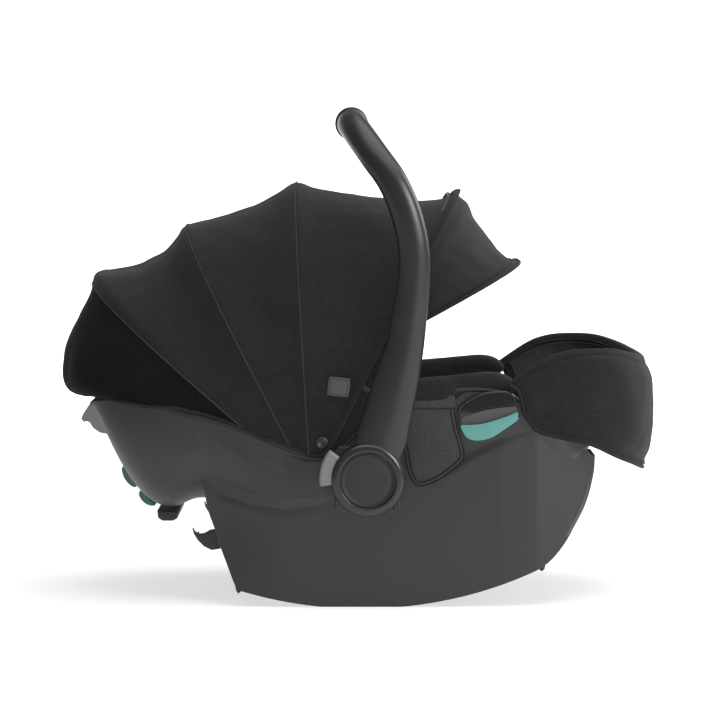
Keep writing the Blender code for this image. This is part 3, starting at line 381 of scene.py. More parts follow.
def swell(obj, cap, pressure=4.0, voxel=0.005, start=0.0):
    """Fills a closed pad as cloth under pressure, holding each point within cap of its place."""
    if start:
        flat = coordinates(obj)
        towards = np.empty(len(flat) * 3, np.float32)
        obj.data.vertices.foreach_get("normal", towards)
        move(obj, flat - towards.reshape(-1, 3) * start)
    change = obj.modifiers.new("voxels", "REMESH")
    change.mode = "VOXEL"
    change.voxel_size = voxel
    apply_modifiers(obj)
    rest = coordinates(obj)
    cloth = obj.modifiers.new("cloth", "CLOTH")
    cloth.settings.use_pressure = True
    cloth.settings.uniform_pressure_force = pressure
    cloth.settings.effector_weights.gravity = 0.0
    cloth.settings.quality = 4
    scene = bpy.context.scene
    for number in range(1, 21):
        scene.frame_set(number)
    apply_modifiers(obj)
    scene.frame_set(1)
    moved = coordinates(obj) - rest
    far = np.linalg.norm(moved, axis=1, keepdims=True)
    move(obj, rest + moved * np.minimum(1.0, cap / np.maximum(far, 1e-9)))
    change = obj.modifiers.new("smooth", "SMOOTH")
    change.iterations = 4
    apply_modifiers(obj)
    subdivide(obj, 1)
    apply_modifiers(obj)
    obj.data.shade_smooth()
    return obj


def piece(obj, body, material, replaces=()):
    """Gives a finished piece its material and body, and hides the solids that it stands for."""
    obj.data.materials.clear()
    obj.data.materials.append(material)
    if body:
        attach(obj, body)
    if replaces:
        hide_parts(*((replaces,) if isinstance(replaces, str) else replaces))
    return obj


def sheet_size(points):
    """The widths and area of a grid: its longest row, longest column and the sum of its cells."""
    wide = np.linalg.norm(np.diff(points, axis=1), axis=2).sum(1).max()
    long = np.linalg.norm(np.diff(points, axis=0), axis=2).sum(0).max()
    a = points[1:, 1:] - points[:-1, :-1]
    b = points[1:, :-1] - points[:-1, 1:]
    return wide, long, np.linalg.norm(np.cross(a, b), axis=2).sum() / 2


# ---------------------------------------------------------------- finishes

class Wire:
    """A node's output that Python's signs turn into Math nodes."""

    def __init__(self, finish, socket):
        self.finish, self.socket = finish, socket

    def sum(self, kind, *values):
        return self.finish.node("ShaderNodeMath", {"operation": kind}, values)

    def __add__(self, other):
        return self.sum("ADD", self, other)

    def __sub__(self, other):
        return self.sum("SUBTRACT", self, other)

    def __rsub__(self, other):
        return self.sum("SUBTRACT", other, self)

    def __mul__(self, other):
        return self.sum("MULTIPLY", self, other)

    def __abs__(self):
        return self.sum("ABSOLUTE", self)

    __radd__ = __add__
    __rmul__ = __mul__

    def wave(self):
        """The sine of the value."""
        return self.sum("SINE", self)

    def soft(self, low, high):
        """Eased from 0 at low to 1 at high."""
        return self.finish.node("ShaderNodeMapRange", {"interpolation_type": "SMOOTHSTEP"},
                                {"Value": self, "From Min": low, "From Max": high})


class Finish:
    """A material: its Principled shader and the nodes that feed it."""

    def __init__(self, name, **sockets):
        self.material = bpy.data.materials.new(name)
        self.material.use_nodes = True
        self.tree = self.material.node_tree
        self.shader = self.tree.nodes["Principled BSDF"]
        for key, value in sockets.items():
            self.shader.inputs[key.replace("_", " ").title().replace("Ior", "IOR")].default_value = value

    def node(self, kind, settings=None, values=(), out=0):
        """A node of a type, its settings, then its sockets' values or links; out is its output."""
        node = self.tree.nodes.new(kind)
        for key, value in (settings or {}).items():
            setattr(node, key, value)
        pairs = values.items() if isinstance(values, dict) else enumerate(values)
        for key, value in pairs:
            if isinstance(value, Wire):
                self.tree.links.new(value.socket, node.inputs[key])
            else:
                node.inputs[key].default_value = value
        return Wire(self, node.outputs[out])

    def place(self, scale=(1.0, 1.0, 1.0), uv=False, turn=(0.0, 0.0, 0.0)):
        """The piece's own place in metres, or its UV map's, scaled and turned."""
        source = self.node("ShaderNodeTexCoord", out="UV" if uv else "Object")
        return self.node("ShaderNodeMapping", None, {"Vector": source, "Scale": scale, "Rotation": turn})

    def split(self, vector):
        """The three numbers of a vector."""
        node = self.node("ShaderNodeSeparateXYZ", None, (vector,)).socket.node
        return [Wire(self, node.outputs[k]) for k in range(3)]

    def noise(self, scale, detail=3.0, rough=0.5, place=None, seed=0.0):
        """Noise of a scale per metre; seed moves it."""
        vector = place or self.place((1.0, 1.0, 1.0))
        if seed:
            vector = self.node("ShaderNodeVectorMath", {"operation": "ADD"}, (vector, (seed, seed, seed)))
        return self.node("ShaderNodeTexNoise", None,
                         {"Vector": vector, "Scale": scale, "Detail": detail, "Roughness": rough})

    def cells(self, scale, feature="F1", place=None, out="Distance"):
        """Cells of a scale per metre."""
        return self.node("ShaderNodeTexVoronoi", {"feature": feature},
                         {"Vector": place or self.place(), "Scale": scale}, out)

    def mix(self, amount, low, high):
        """From colour low to colour high as amount goes from 0 to 1."""
        return self.node("ShaderNodeMix", {"data_type": "RGBA", "clamp_factor": True},
                         {0: amount, 6: low if isinstance(low, Wire) else (*low, 1.0),
                          7: high if isinstance(high, Wire) else (*high, 1.0)}, 2)

    def feed(self, colour=None, roughness=None, height=None, distance=0.0002, strength=1.0):
        """Links the shader's colour and roughness, and its normal to a bump over a height."""
        bump = None
        if height is not None:
            bump = self.node("ShaderNodeBump", None,
                             {"Height": height, "Distance": distance, "Strength": strength})
        for key, value in (("Base Color", colour), ("Roughness", roughness), ("Normal", bump)):
            if value is not None:
                self.tree.links.new(value.socket, self.shader.inputs[key])
        return self.material


def grained_plastic(name, colour, rough, grain=900.0, depth=0.00006, vary=0.12, **more):
    """Moulded plastic: a fine leathery grain, a slow mottle in tone and lighter rubbed spots."""
    f = Finish(name, base_color=(*colour, 1.0), roughness=rough, **more)
    fine = f.cells(grain)
    slow = f.noise(14.0, 3.0)
    speck = f.noise(grain * 0.35, 2.0, seed=3.0)
    tone = slow * 0.6 + speck * 0.4
    dark = tuple(c * (1 - vary) for c in colour)
    light = tuple(c * (1 + vary) for c in colour)
    rubbed = tuple(min(1.0, c * 1.35 + 0.01) for c in colour)
    base = f.mix(tone, dark, light)
    worn = (f.noise(120.0, 4.0, 0.7, seed=9.0)).soft(0.66, 0.8) * 0.35
    return f.feed(f.mix(worn, base, rubbed), (tone - 0.5) * 0.14 + rough + fine * 0.05, fine, depth)


def satin_plastic(name, colour, rough, **more):
    """Smooth satin plastic: faint flow lines, fine dust-like specks and soft tone changes."""
    f = Finish(name, base_color=(*colour, 1.0), roughness=rough, **more)
    flow = f.noise(20.0, 2.0, place=f.place((1.0, 1.0, 0.25)))
    speck = f.noise(1400.0, 1.0, seed=5.0)
    base = f.mix(flow * 0.7 + speck * 0.3, tuple(c * 0.88 for c in colour), tuple(c * 1.12 for c in colour))
    rough_map = rough + (flow - 0.5) * 0.12 + (speck - 0.5) * 0.10
    return f.feed(base, rough_map, speck * 0.5 + f.noise(420.0, 2.0), 0.00003)


def knit(name, dark, light, rough=0.92, pitch=0.0011, uv=True, slub=1.0, sheen=0.07):
    """Melange jersey: columns of slanted stitches, flecks of lighter fibre and slow shading."""
    f = Finish(name, base_color=(*dark, 1.0), roughness=rough, sheen_weight=sheen,
               sheen_roughness=0.5, specular_ior_level=2.6 * sheen)
    place = f.place((1.0, 1.0, 1.0), uv=uv)
    x, y, z = f.split(place)
    if not uv:
        x, y = x + y, z
    wale = 2 * math.pi / pitch
    lean = (x * wale).wave()
    rows = ((y * (wale * 0.8)) + lean * 1.3).wave()
    stitch = (rows * 0.5 + 0.5) * (1 - abs(lean) * 0.45)
    fleck = f.noise(1500.0, 2.0, 0.6, place=f.place((1.0, 1.0, 0.5)))
    cloud = f.noise(28.0, 3.0, seed=4.0)
    amount = (fleck.soft(0.45, 0.66) * 0.75 + stitch * 0.3 + (cloud - 0.5) * 0.35) * slub
    return f.feed(f.mix(amount, dark, light), rough + (fleck - 0.5) * 0.1, stitch + fleck * 0.6, 0.00022)


def woven(name, dark, light, pitch=0.0012, rough=0.7, twill=False, uv=True):
    """Woven webbing or lining: crossing threads that pass over and under each other."""
    f = Finish(name, base_color=(*dark, 1.0), roughness=rough, specular_ior_level=0.3)
    x, y, z = f.split(f.place((1.0, 1.0, 1.0), uv=uv))
    if not uv:
        x, y = x + y, z
    turn = 2 * math.pi / pitch
    warp = ((x * turn) + (y * turn if twill else 0.0)).wave()
    weft = (y * turn).wave()
    over = (warp * weft) * 0.5 + 0.5
    ribs = abs(warp) * 0.6 + over * 0.4
    fleck = f.noise(900.0, 2.0)
    return f.feed(f.mix(ribs * 0.7 + fleck * 0.3, dark, light), rough + (fleck - 0.5) * 0.12, ribs, 0.0002)


def brushed(name, colour, rough):
    """Plated steel: fine lines along X, and a cloudy roughness."""
    f = Finish(name, base_color=(*colour, 1.0), roughness=rough, metallic=1.0)
    lines = f.noise(900.0, 2.0, place=f.place((0.04, 1.0, 1.0)))
    cloud = f.noise(60.0, 3.0)
    return f.feed(f.mix(lines, tuple(c * 0.8 for c in colour), colour),
                  rough + (cloud - 0.5) * 0.2 + lines * 0.08,
                  lines, 0.00002)


def beads(name):
    """Moulded foam: packed beads with dark joints between them."""
    f = Finish(name, base_color=(0.75, 0.75, 0.74, 1.0), roughness=0.9)
    edge = f.cells(300.0, "DISTANCE_TO_EDGE")
    return f.feed(f.mix(edge.soft(0.0, 0.08), (0.5, 0.5, 0.5), (0.78, 0.78, 0.77)), 0.9 - edge * 0.2,
                  edge.soft(0.0, 0.2), 0.0004)


def glossy(name, colour, rough=0.12):
    """Polished plastic: hairline scuffs and a faint orange peel."""
    f = Finish(name, base_color=(*colour, 1.0), roughness=rough, coat_weight=0.4, coat_roughness=0.06)
    scuff = f.noise(700.0, 2.0, place=f.place((0.15, 1.0, 1.0)))
    peel = f.noise(160.0, 1.0)
    return f.feed(f.mix(scuff, colour, tuple(c * 1.5 + 0.002 for c in colour)),
                  rough + scuff.soft(0.55, 0.8) * 0.18, peel, 0.00003)


def shade(colour, by, add=0.0):
    """A colour multiplied by a number, with another added."""
    return tuple(c * by + add for c in colour)


def make_finishes(colours):
    """Every finish of the seat, by a plain name."""
    shell, cloth, handle, teal = (
        tuple(c) for c in (colours.shell, colours.cloth, colours.handle, colours.teal))
    lift = shade(cloth, 2.6, 0.006)
    return {
        "shell": grained_plastic("charcoal_shell", shell, 0.46, grain=1100.0),
        "recess": grained_plastic("dark_recess", shade(shell, 0.35), 0.6),
        "handle": satin_plastic("satin_handle", handle, 0.36),
        "grip": grained_plastic("grip_sleeve", shade(handle, 0.9), 0.48, grain=1500.0, depth=0.00004),
        "ring": satin_plastic("hub_ring", shade(handle, 1.25), 0.26),
        "disc": grained_plastic("hub_disc", shade(handle, 0.95), 0.62, grain=2200.0, depth=0.00005),
        "button": grained_plastic("grey_button", (0.165, 0.165, 0.17), 0.42, grain=1600.0, depth=0.00003),
        "knit": knit("black_knit", cloth, lift),
        # Painted shade: a darker copy of the knit for the back gore, which faces away from the lights.
        "painted_shade_knit": knit("black_knit_painted_shade", shade(cloth, 0.40), shade(lift, 0.50), sheen=0.03),
        # Painted light: a lighter copy of the knit for the side flaps, as if lit from the front.
        "painted_light_knit": knit("black_knit_painted_light", shade(cloth, 2.6), shade(lift, 2.4), sheen=0.16),
        # Painted light: a lighter copy of the knit for the foot cover's lining, as if light reached inside
        # it.
        "painted_light_lining_knit": knit("black_knit_lining_painted_light", shade(cloth, 3.2), shade(lift, 3.0)),
        "knit_solid": knit("black_knit_pads", cloth, lift, uv=False),
        "piping": woven("black_piping", shade(cloth, 0.5), shade(cloth, 1.3), pitch=0.0008, twill=True),
        "seam": knit("black_knit_seam", lift, shade(lift, 1.5), pitch=0.0006),
        "lining": woven("black_lining", shade(cloth, 0.45), shade(cloth, 1.2), pitch=0.0009),
        "webbing": woven("black_webbing", (0.012, 0.012, 0.013), (0.045, 0.045, 0.048), pitch=0.0020,
                         twill=True),
        "thread": woven("grey_thread", (0.05, 0.05, 0.052), (0.11, 0.11, 0.115), pitch=0.0007),
        "foam": beads("foam_beads"),
        "gloss": glossy("gloss_black", (0.006, 0.006, 0.007)),
        "band": grained_plastic("slate_band", (0.06, 0.062, 0.065), 0.4, grain=1800.0, depth=0.00003),
        "teal": satin_plastic("teal_plastic", teal, 0.38),
        "green": satin_plastic("green_plastic", (0.018, 0.085, 0.06), 0.35),
        "red": glossy("red_button", (0.42, 0.02, 0.02), 0.2),
        "black": grained_plastic("black_plastic", (0.012, 0.012, 0.013), 0.45, grain=1500.0, depth=0.00004),
        "rubber": grained_plastic("rubber_tab", (0.05, 0.05, 0.052), 0.65, grain=1300.0, depth=0.00005),
        "steel": brushed("plated_steel", (0.56, 0.56, 0.58), 0.3),
    }


FINISHES = {}


# ---------------------------------------------------------------- shell

def section(table, s, drop, side):
    """Point of a bucket: drop is 0 at the rim and 1 at the bottom, side runs from -1 to 1."""
    row = curve(table, s)
    x = row[..., 2] + (row[..., 0] - row[..., 2]) * drop
    z = row[..., 3] + (row[..., 1] - row[..., 3]) * drop
    return np.stack([x, row[..., 4] * side, z], -1)


def bucket(table, s, q):
    """A bucket over s, head to foot, and q from rim to rim: a squared half ellipse across."""
    s, q = np.meshgrid(s, q, indexing="ij")
    t = np.abs(q)
    power = 1.69
    near = (1 - t) ** power / ((1 - t) ** power + t ** power + 1e-12)
    angle = near * math.pi / 2
    return section(table, s, np.sin(angle) ** SQUARE, np.sign(q) * np.cos(angle) ** SQUARE)


def seat_point(s, y):
    """Point of the seat cover's inner face at s and y, and its normal into the seat."""
    def point(s, y):
        half = curve(CAVITY, s)[..., 4]
        side = np.clip(y / half, -0.999, 0.999)
        drop = (1 - np.abs(side) ** (2 / SQUARE)) ** (SQUARE / 2)
        return section(CAVITY, s, drop, side)
    step = 1e-3
    run = point(s + step, y) - point(s - step, y)
    over = point(s, y + step) - point(s, y - step)
    return point(s, y), unit(np.cross(run, over))


def rim_half(x):
    """Half width of the rim at x."""
    return np.interp(x, BUCKET[:, 2], BUCKET[:, 4])


def rim_z(x):
    """Height of the rim at x."""
    return np.interp(x, BUCKET[:, 2], BUCKET[:, 3])


def bucket_y(x, z):
    """Half width of the bucket at (x, z): the station whose line passes there, then its squared ellipse."""
    row = curve(BUCKET, np.linspace(0.01, 0.99, 500))
    run = row[:, :2] - row[:, 2:4]
    p, q = np.ravel(x)[:, None], np.ravel(z)[:, None]
    cross = (p - row[:, 2]) * run[:, 1] - (q - row[:, 3]) * run[:, 0]
    flips = (cross[:, 1:] * cross[:, :-1] <= 0) & (np.abs(cross[:, 1:] - cross[:, :-1]) > 1e-12)
    i = flips.argmax(1)
    k = np.arange(len(i))
    gap = cross[k, i] - cross[k, i + 1]
    t = cross[k, i] / np.where(np.abs(gap) < 1e-12, 1.0, gap)
    at = row[i] + (row[i + 1] - row[i]) * np.clip(t, 0, 1)[:, None]
    run = at[:, :2] - at[:, 2:4]
    drop = ((p[:, 0] - at[:, 2]) * run[:, 0] + (q[:, 0] - at[:, 3]) * run[:, 1]) / ((run ** 2).sum(1) + 1e-9)
    sine = np.clip(drop, 0, 1) ** (1 / SQUARE)
    return (at[:, 4] * np.sqrt(np.clip(1 - sine ** 2, 0, 1)) ** SQUARE).reshape(np.shape(x))


SKIRT_TOP = [(-188, 205), (-150, 198), (-105, 181), (-58, 166), (-25, 172), (15, 206), (58, 234),
             (108, 239), (158, 238), (196, 214), (226, 190), (250, 180), (265, 168)]
SKIRT_REAR = [(-188, 205), (-187, 174), (-180, 150), (-172, 125), (-169, 109), (-159, 81),
              (-151, 54), (-144, 30), (-138, 18.2)]
SKIRT_FRONT = [(265, 168), (263, 145), (254, 114), (239, 87), (220, 56), (206, 43.4)]
CREASE = np.array([
    (-204, 232), (-197, 216), (-187, 174), (-175, 150), (-155, 131), (-125, 121), (-84, 115),
    (-46, 119), (-20, 128)], float) * MM
LEDGE = np.array([(60, 128), (100, 152), (121, 168), (152, 183), (186, 198), (215, 206)], float) * MM


ROCKER_RADIUS, ROCKER_MIDDLE, ROCKER_FLAT = 0.480, 0.002, 0.0021
ROCKER_SPAN = (-0.138, 0.206)


def rocker(x):
    """Height of the rocker's lower edge: an arc with its lowest part cut flat."""
    rise = ROCKER_RADIUS - np.sqrt(ROCKER_RADIUS ** 2 - (x - ROCKER_MIDDLE) ** 2)
    return np.maximum(rise - ROCKER_FLAT, 0.0)


def skirt_points(side):
    """Rocker side: four edges blended as a Coons patch, then a rounded turn to a flange.

    Its face lies at the rim's half width plus 1.5 mm, raised a little above the crease and
    under the ledge.
    """
    columns, rows = 150, 70
    x = np.linspace(*ROCKER_SPAN, columns)
    bottom = np.column_stack([x, rocker(x)])
    top = even(np.array(SKIRT_TOP) * MM, columns)
    rear = even(np.array(SKIRT_REAR) * MM, rows)
    front = even(np.array(SKIRT_FRONT) * MM, rows)
    rear[-1], front[-1] = bottom[0], bottom[-1]
    u = np.linspace(0, 1, columns)[:, None, None]
    v = np.linspace(0, 1, rows)[None, :, None]
    flat = ((1 - v) * top[:, None] + v * bottom[:, None] + (1 - u) * rear[None] + u * front[None]
            - ((1 - u) * (1 - v) * top[0] + u * (1 - v) * top[-1] + (1 - u) * v * bottom[0]
               + u * v * bottom[-1]))
    x, z = flat[..., 0], flat[..., 1]
    crease = ground(flat, CREASE)
    ledge = ground(flat, LEDGE)
    raised = 0.0026 * ease(crease, -0.002, 0.005) * (1 - ease(x, -0.050, -0.020))
    raised = raised - 0.0016 * bell(crease, -0.004, 0.005) * (1 - ease(x, -0.075, -0.030))
    shelf = 0.0030 * ease(ledge, -0.003, 0.004) * ease(x, 0.070, 0.125)
    belly = 0.0012 * bell(z, 0.09, 0.05)
    y = rim_half(x) + 0.0015 + raised - shelf + belly
    edge = np.abs(ground(flat, even(np.array(SKIRT_REAR) * MM, 40)))
    upper = (1 - ease(v[..., 0], 0.02, 0.16)) * ease(-x, 0.050, 0.090)
    merge = np.maximum(1 - ease(edge, 0.004, 0.085), upper)
    inward = y - np.maximum(bucket_y(x, z) + 0.0002, y - 0.014)
    y = y - merge * np.where(z > 0.110, inward, 0.014 * ease(z, 0.0, 0.110))
    turn = np.linspace(0, math.pi / 2, 6)[1:]
    low = np.stack([np.broadcast_to(x[:, -1:], (columns, 5)), y[:, -1:] - 0.004 * (1 - np.cos(turn)),
                    np.broadcast_to(z[:, -1:], (columns, 5))], -1)
    face = np.stack([x, y, z], -1)
    flange = np.stack([np.broadcast_to(x[:, -1:], (columns, 6)), y[:, -1:] - np.linspace(0.006, 0.022, 6),
                       np.broadcast_to(z[:, -1:], (columns, 6))], -1)
    grid = np.concatenate([face, low, flange], 1)
    for end, ahead in ((0, -1), (-1, 1)):
        keep = (1 - ease(np.arange(grid.shape[1]), rows - 22, rows - 4))[:, None]
        bent = [grid[end] + keep * (ahead * 0.004 * math.sin(a), 0.004 * (math.cos(a) - 1), 0) for a in turn]
        bent += [bent[-1] - keep * (0, d, 0) for d in (0.008, 0.024, 0.050, 0.086)]
        grid = np.concatenate([bent[::-1], grid] if end == 0 else [grid, bent])
    grid[..., 1] *= side
    return grid


def make_shell():
    """Bucket with a rolled rim, two rocker sides, the hub bosses and the ribs beside them."""
    f = FINISHES
    s = np.linspace(0, 1, 150)
    q = np.linspace(-1, 1, 101)
    points = bucket(BUCKET, s, q)
    body = skin("shell_bucket", points, away=(-0.02, 0.0, 0.25))
    thicken(body, 0.004, even_offset=False)
    piece(body, "seat_shell", f["shell"], "outer_shell")
    ring = np.concatenate([points[:, 0], points[-1, 1:-1], points[::-1, -1], points[0, ::-1][1:-1]])
    rim = tube("shell_rim", even(ring[::6], 320, True), 0.0026, 10, up=(0, 0, 1), closed=True)
    piece(rim, "seat_shell", f["recess"])
    for name, side in SIDES:
        wall = skin("rocker_side_" + name, skirt_points(side), away=(0.02, 0.0, 0.1))
        thicken(wall, 0.004, even_offset=False)
        piece(wall, "seat_shell", f["shell"])
        x0, x1, z0, z1, c = PIVOT[0] - 0.037, PIVOT[0] + 0.037, 0.107, 0.183, 0.004
        corner = np.array([(x0 + c, z0), (x1 - c, z0), (x1, z0 + c), (x1, z1 - c), (x1 - c, z1), (x0 + c, z1),
                           (x0, z1 - c), (x0, z0 + c)])
        steps = np.linspace(0, 1, 9)[:-1]
        outline = np.concatenate([a + (b - a) * steps[:, None]
                                  for a, b in zip(corner, np.roll(corner, -1, 0))])
        boss = slab("hub_boss_" + name, outline, side * 0.178, side * BOSS, 0.0012)
        piece(boss, "seat_shell", f["shell"])
        for k in range(4):
            x = x1 - 0.0035 - k * 0.0042
            rib = np.array([(x - 0.0008, z0 + 0.003), (x + 0.0008, z0 + 0.003), (x + 0.0008, z0 + 0.026),
                            (x - 0.0008, z0 + 0.026)])
            bar = slab(f"boss_rib_{name}_{k}", rib, side * (BOSS - 0.0015), side * (BOSS + 0.0006), 0.0003,
                       steps=3)
            piece(bar, "seat_shell", f["recess"])


# ---------------------------------------------------------------- handle

ARM = np.array([
     (12, 156, 44, 0, 21), (22.6, 188, 57, 0, 22), (31, 219, 54, 0, 23), (41.5, 261, 50, 0, 23),
    (50, 295, 43, 0, 23), (55, 329, 40, 0, 24), (59.5, 362, 37, 0, 25), (60.8, 392, 35.5, 0, 27),
    (57.6, 421, 35, 1, 29), (48.5, 454, 34.5, 4, 31), (35, 483, 34, 12, 33), (18, 507, 34, 28, 34),
    (3, 528, 34, 52, 34), (-6.5, 541.5, 34, 78, 34), (-9.7, 546.4, 34, 100, 34)], float)


def arm_points(side, rows=110, count=48):
    """Arm: squared ellipses along its middle line, flat beside the hub and round at the grip.

    The outer face has a shallow crease along its lower half, and a soft flat above it.
    """
    scale = GRIP_REACH / DRAWN_REACH
    row = curve(ARM, np.linspace(0, 1, rows))
    x = PIVOT[0] + (row[:, 0] - 9.0) * MM * scale
    z = PIVOT[2] + (row[:, 1] - 147.0) * MM * scale
    y = side * (ARM_Y - row[:, 3] / 100.0 * (ARM_Y - 0.1036))
    middle = np.column_stack([x, y, z])
    run = unit(np.gradient(middle, axis=0))
    lean = ease(row[:, 3], 60.0, 100.0)[:, None]
    run = unit(run * (1 - lean) + np.array((0.0, -side, 0.0)) * lean)
    wide = unit(np.column_stack([run[:, 2], np.zeros(rows), -run[:, 0]]) + 1e-9)
    flat = wide[int(rows * 0.86)]
    wide = unit(wide * (1 - lean) + flat * lean)
    thick = unit(np.cross(run, wide))
    angle = np.linspace(0, 2 * math.pi, count, endpoint=False)
    power = np.linspace(0.72, 1.0, rows)[:, None]
    c = signed_power(np.cos(angle), power)
    s = signed_power(np.sin(angle), power)
    half = row[:, 2, None, None] * MM / 2
    deep = row[:, 4, None, None] * MM / 2
    outer = np.sign(thick[:, 1:2] * side)
    face = np.maximum(s * outer, 0.0)
    down = 1 - ease(z, 0.33, 0.46)[:, None]
    roof = 1 - np.sqrt((c - 0.16) ** 2 + 0.0008) / 1.1
    s = s + np.sign(s) * face * down * 0.0042 * (roof - 0.45) / deep[..., 0]
    return middle[:, None] + wide[:, None] * c[..., None] * half + thick[:, None] * s[..., None] * deep


def make_handle():
    """Two arms, the hub rings and discs, and the grip with its step rings."""
    f = FINISHES
    for name, side in SIDES:
        arm = skin("arm_" + name, arm_points(side), wrap=True, caps=True)
        piece(arm, "carry_handle", f["handle"], "handle_arm_" + name)
        o, i = HUB_OUT, HUB_IN
        turn = np.linspace(0, math.pi / 2, 8)
        outer = [(0.0345 + 0.0068 * math.sin(a), o - 0.0062 + 0.0062 * math.cos(a)) for a in turn]
        lip = [(0.0331 - 0.0016 * math.sin(a), o - 0.0016 + 0.0016 * math.cos(a)) for a in turn]
        profile = ([(0.0090, i)] + [(0.0400, i), (0.0413, i + 0.0012)] + outer[::-1]
                   + lip + [(0.0309, o - 0.0046), (0.0260, o - 0.0050), (0.0090, o - 0.0050)])
        ring = turned("hub_ring_" + name, profile, PIVOT, side, 128)
        piece(ring, "carry_handle", f["ring"])
        flat_shade(ring, 50)
        disc_edge = [(0.0293 - 0.0009 * math.sin(a), o - 0.0021 + 0.0009 * math.cos(a)) for a in turn]
        disc = turned("hub_disc_" + name, [(0.0001, o - 0.0046), (0.0293, o - 0.0046)] + disc_edge
                      + [(0.0250, o - 0.00105), (0.0150, o - 0.0009), (0.0001, o - 0.00085)], PIVOT, side,
                      128,
                      closed=False)
        piece(disc, "carry_handle", f["disc"], "hub_cap_" + name)
        make_button(name, side)
        start = np.concatenate([[(0.0001, 0.0)], [(0.0174, 0.0)],
                                [(0.0183, 0.0008), (0.0183, 0.0030), (0.0176, 0.0036)],
                                [(0.0001, 0.0036)]])
        start[:, 1] += 0.1001
        step = turned("grip_ring_" + name, start, GRIP, side, 64, closed=False)
        piece(step, "carry_handle", f["black"])
    y = np.linspace(-0.0996, 0.0996, 60)
    end = np.clip((0.0996 - np.abs(y)) / 0.0040, 0, 1)
    r = 0.0192 - 0.0030 * (1 - np.sqrt(1 - (1 - end) ** 2)) + 0.0003 * np.cos(y / 0.1 * math.pi)
    sleeve = turned("grip_sleeve", np.column_stack([r, y]), GRIP, 1, 64, closed=False)
    piece(sleeve, "carry_handle", f["grip"], "handle_grip")


def make_button(name, side):
    """Release button: a rounded rectangle of radius by y swept through the button's angles."""
    f = FINISHES
    turn = np.linspace(0, 2 * math.pi, 40, endpoint=False)
    c = signed_power(np.cos(turn), 0.35)
    s = signed_power(np.sin(turn), 0.35)
    angle = np.radians(np.linspace(142.0, 188.0, 40))
    t = np.linspace(-1, 1, 40)
    end = (1 - np.abs(t) ** 12) ** 0.5 * 0.18 + 0.82
    r = 0.0470 + 0.0080 * c[None] * end[:, None]
    y = side * (0.5 * (HUB_IN + HUB_OUT) + 0.0086 * s[None] * end[:, None])
    grid = np.stack([PIVOT[0] + r * np.cos(angle)[:, None], np.broadcast_to(y, r.shape),
                     PIVOT[2] + r * np.sin(angle)[:, None]], -1)
    press = skin("button_" + name, grid, wrap=True, caps=True)
    piece(press, "button_" + name, f["button"], "release_button_" + name)


# ---------------------------------------------------------------- canopy

def around(angle, radius, y):
    """A point at an angle in degrees and a radius about the canopy's axis."""
    turn = np.radians(angle)
    x = AXIS[0] + radius * np.cos(turn)
    z = AXIS[2] + radius * np.sin(turn)
    return np.stack(np.broadcast_arrays(x, y, z), -1)


def arch(radius, half, power, low, count):
    """Radius and y of an arch: the same power of the sine and cosine from side to side."""
    angle = np.linspace(low, math.pi - low, count)
    return radius * np.sin(angle) ** power, -half * signed_power(np.cos(angle), power)


HEM = np.array([
    (64.0, 46), (72.0, 36), (93.5, 34), (118.7, 49), (135.5, 76), (142.0, 111), (149.5, 158),
    (153.5, 206)], float)
# Crown line of each gore in the middle plane (x, z), from the head end to the front bow.
CROWNS = tuple(np.array(line) * MM for line in (
    ((-310.7, 234.5), (-318.6, 230.8), (-330.4, 231.8), (-340.2, 237.8), (-345.2, 249.5), (-345.2, 272.9),
     (-340.2, 296.5), (-330.4, 320.2), (-322.5, 336.0), (-314.9, 351.7), (-312.4, 362.5)),
    ((-312.4, 362.5), (-310.7, 370.8), (-304.8, 375.2), (-295.0, 375.6), (-275.3, 378.6), (-251.7, 385.2),
     (-228.1, 399.0), (-214.4, 414.8), (-208.5, 424.7), (-203.0, 428.7)),
    ((-203.0, 428.7), (-194.7, 431.2), (-181.0, 434.5), (-149.5, 442.4), (-118.0, 454.3), (-94.4, 467.9),
     (-82.6, 475.8), (-75.0, 478.6)),
    ((-75.0, 478.6), (-66.9, 477.2), (-51.0, 471.4), (-9.0, 464.0), (30.0, 459.0), (68.0, 457.0),
     (94.0, 458.5), (105.0, 462.0), (112.5, 466.5))))
SIDE_ANGLES = ((153.5, 139.5), (139.5, 117.5), (117.5, 93.5), (93.5, 64.0))
POWERS = ((0.40, 0.62), (0.62, 0.62), (0.62, 0.62), (0.62, 0.62))
FABRIC_Y = 0.1860


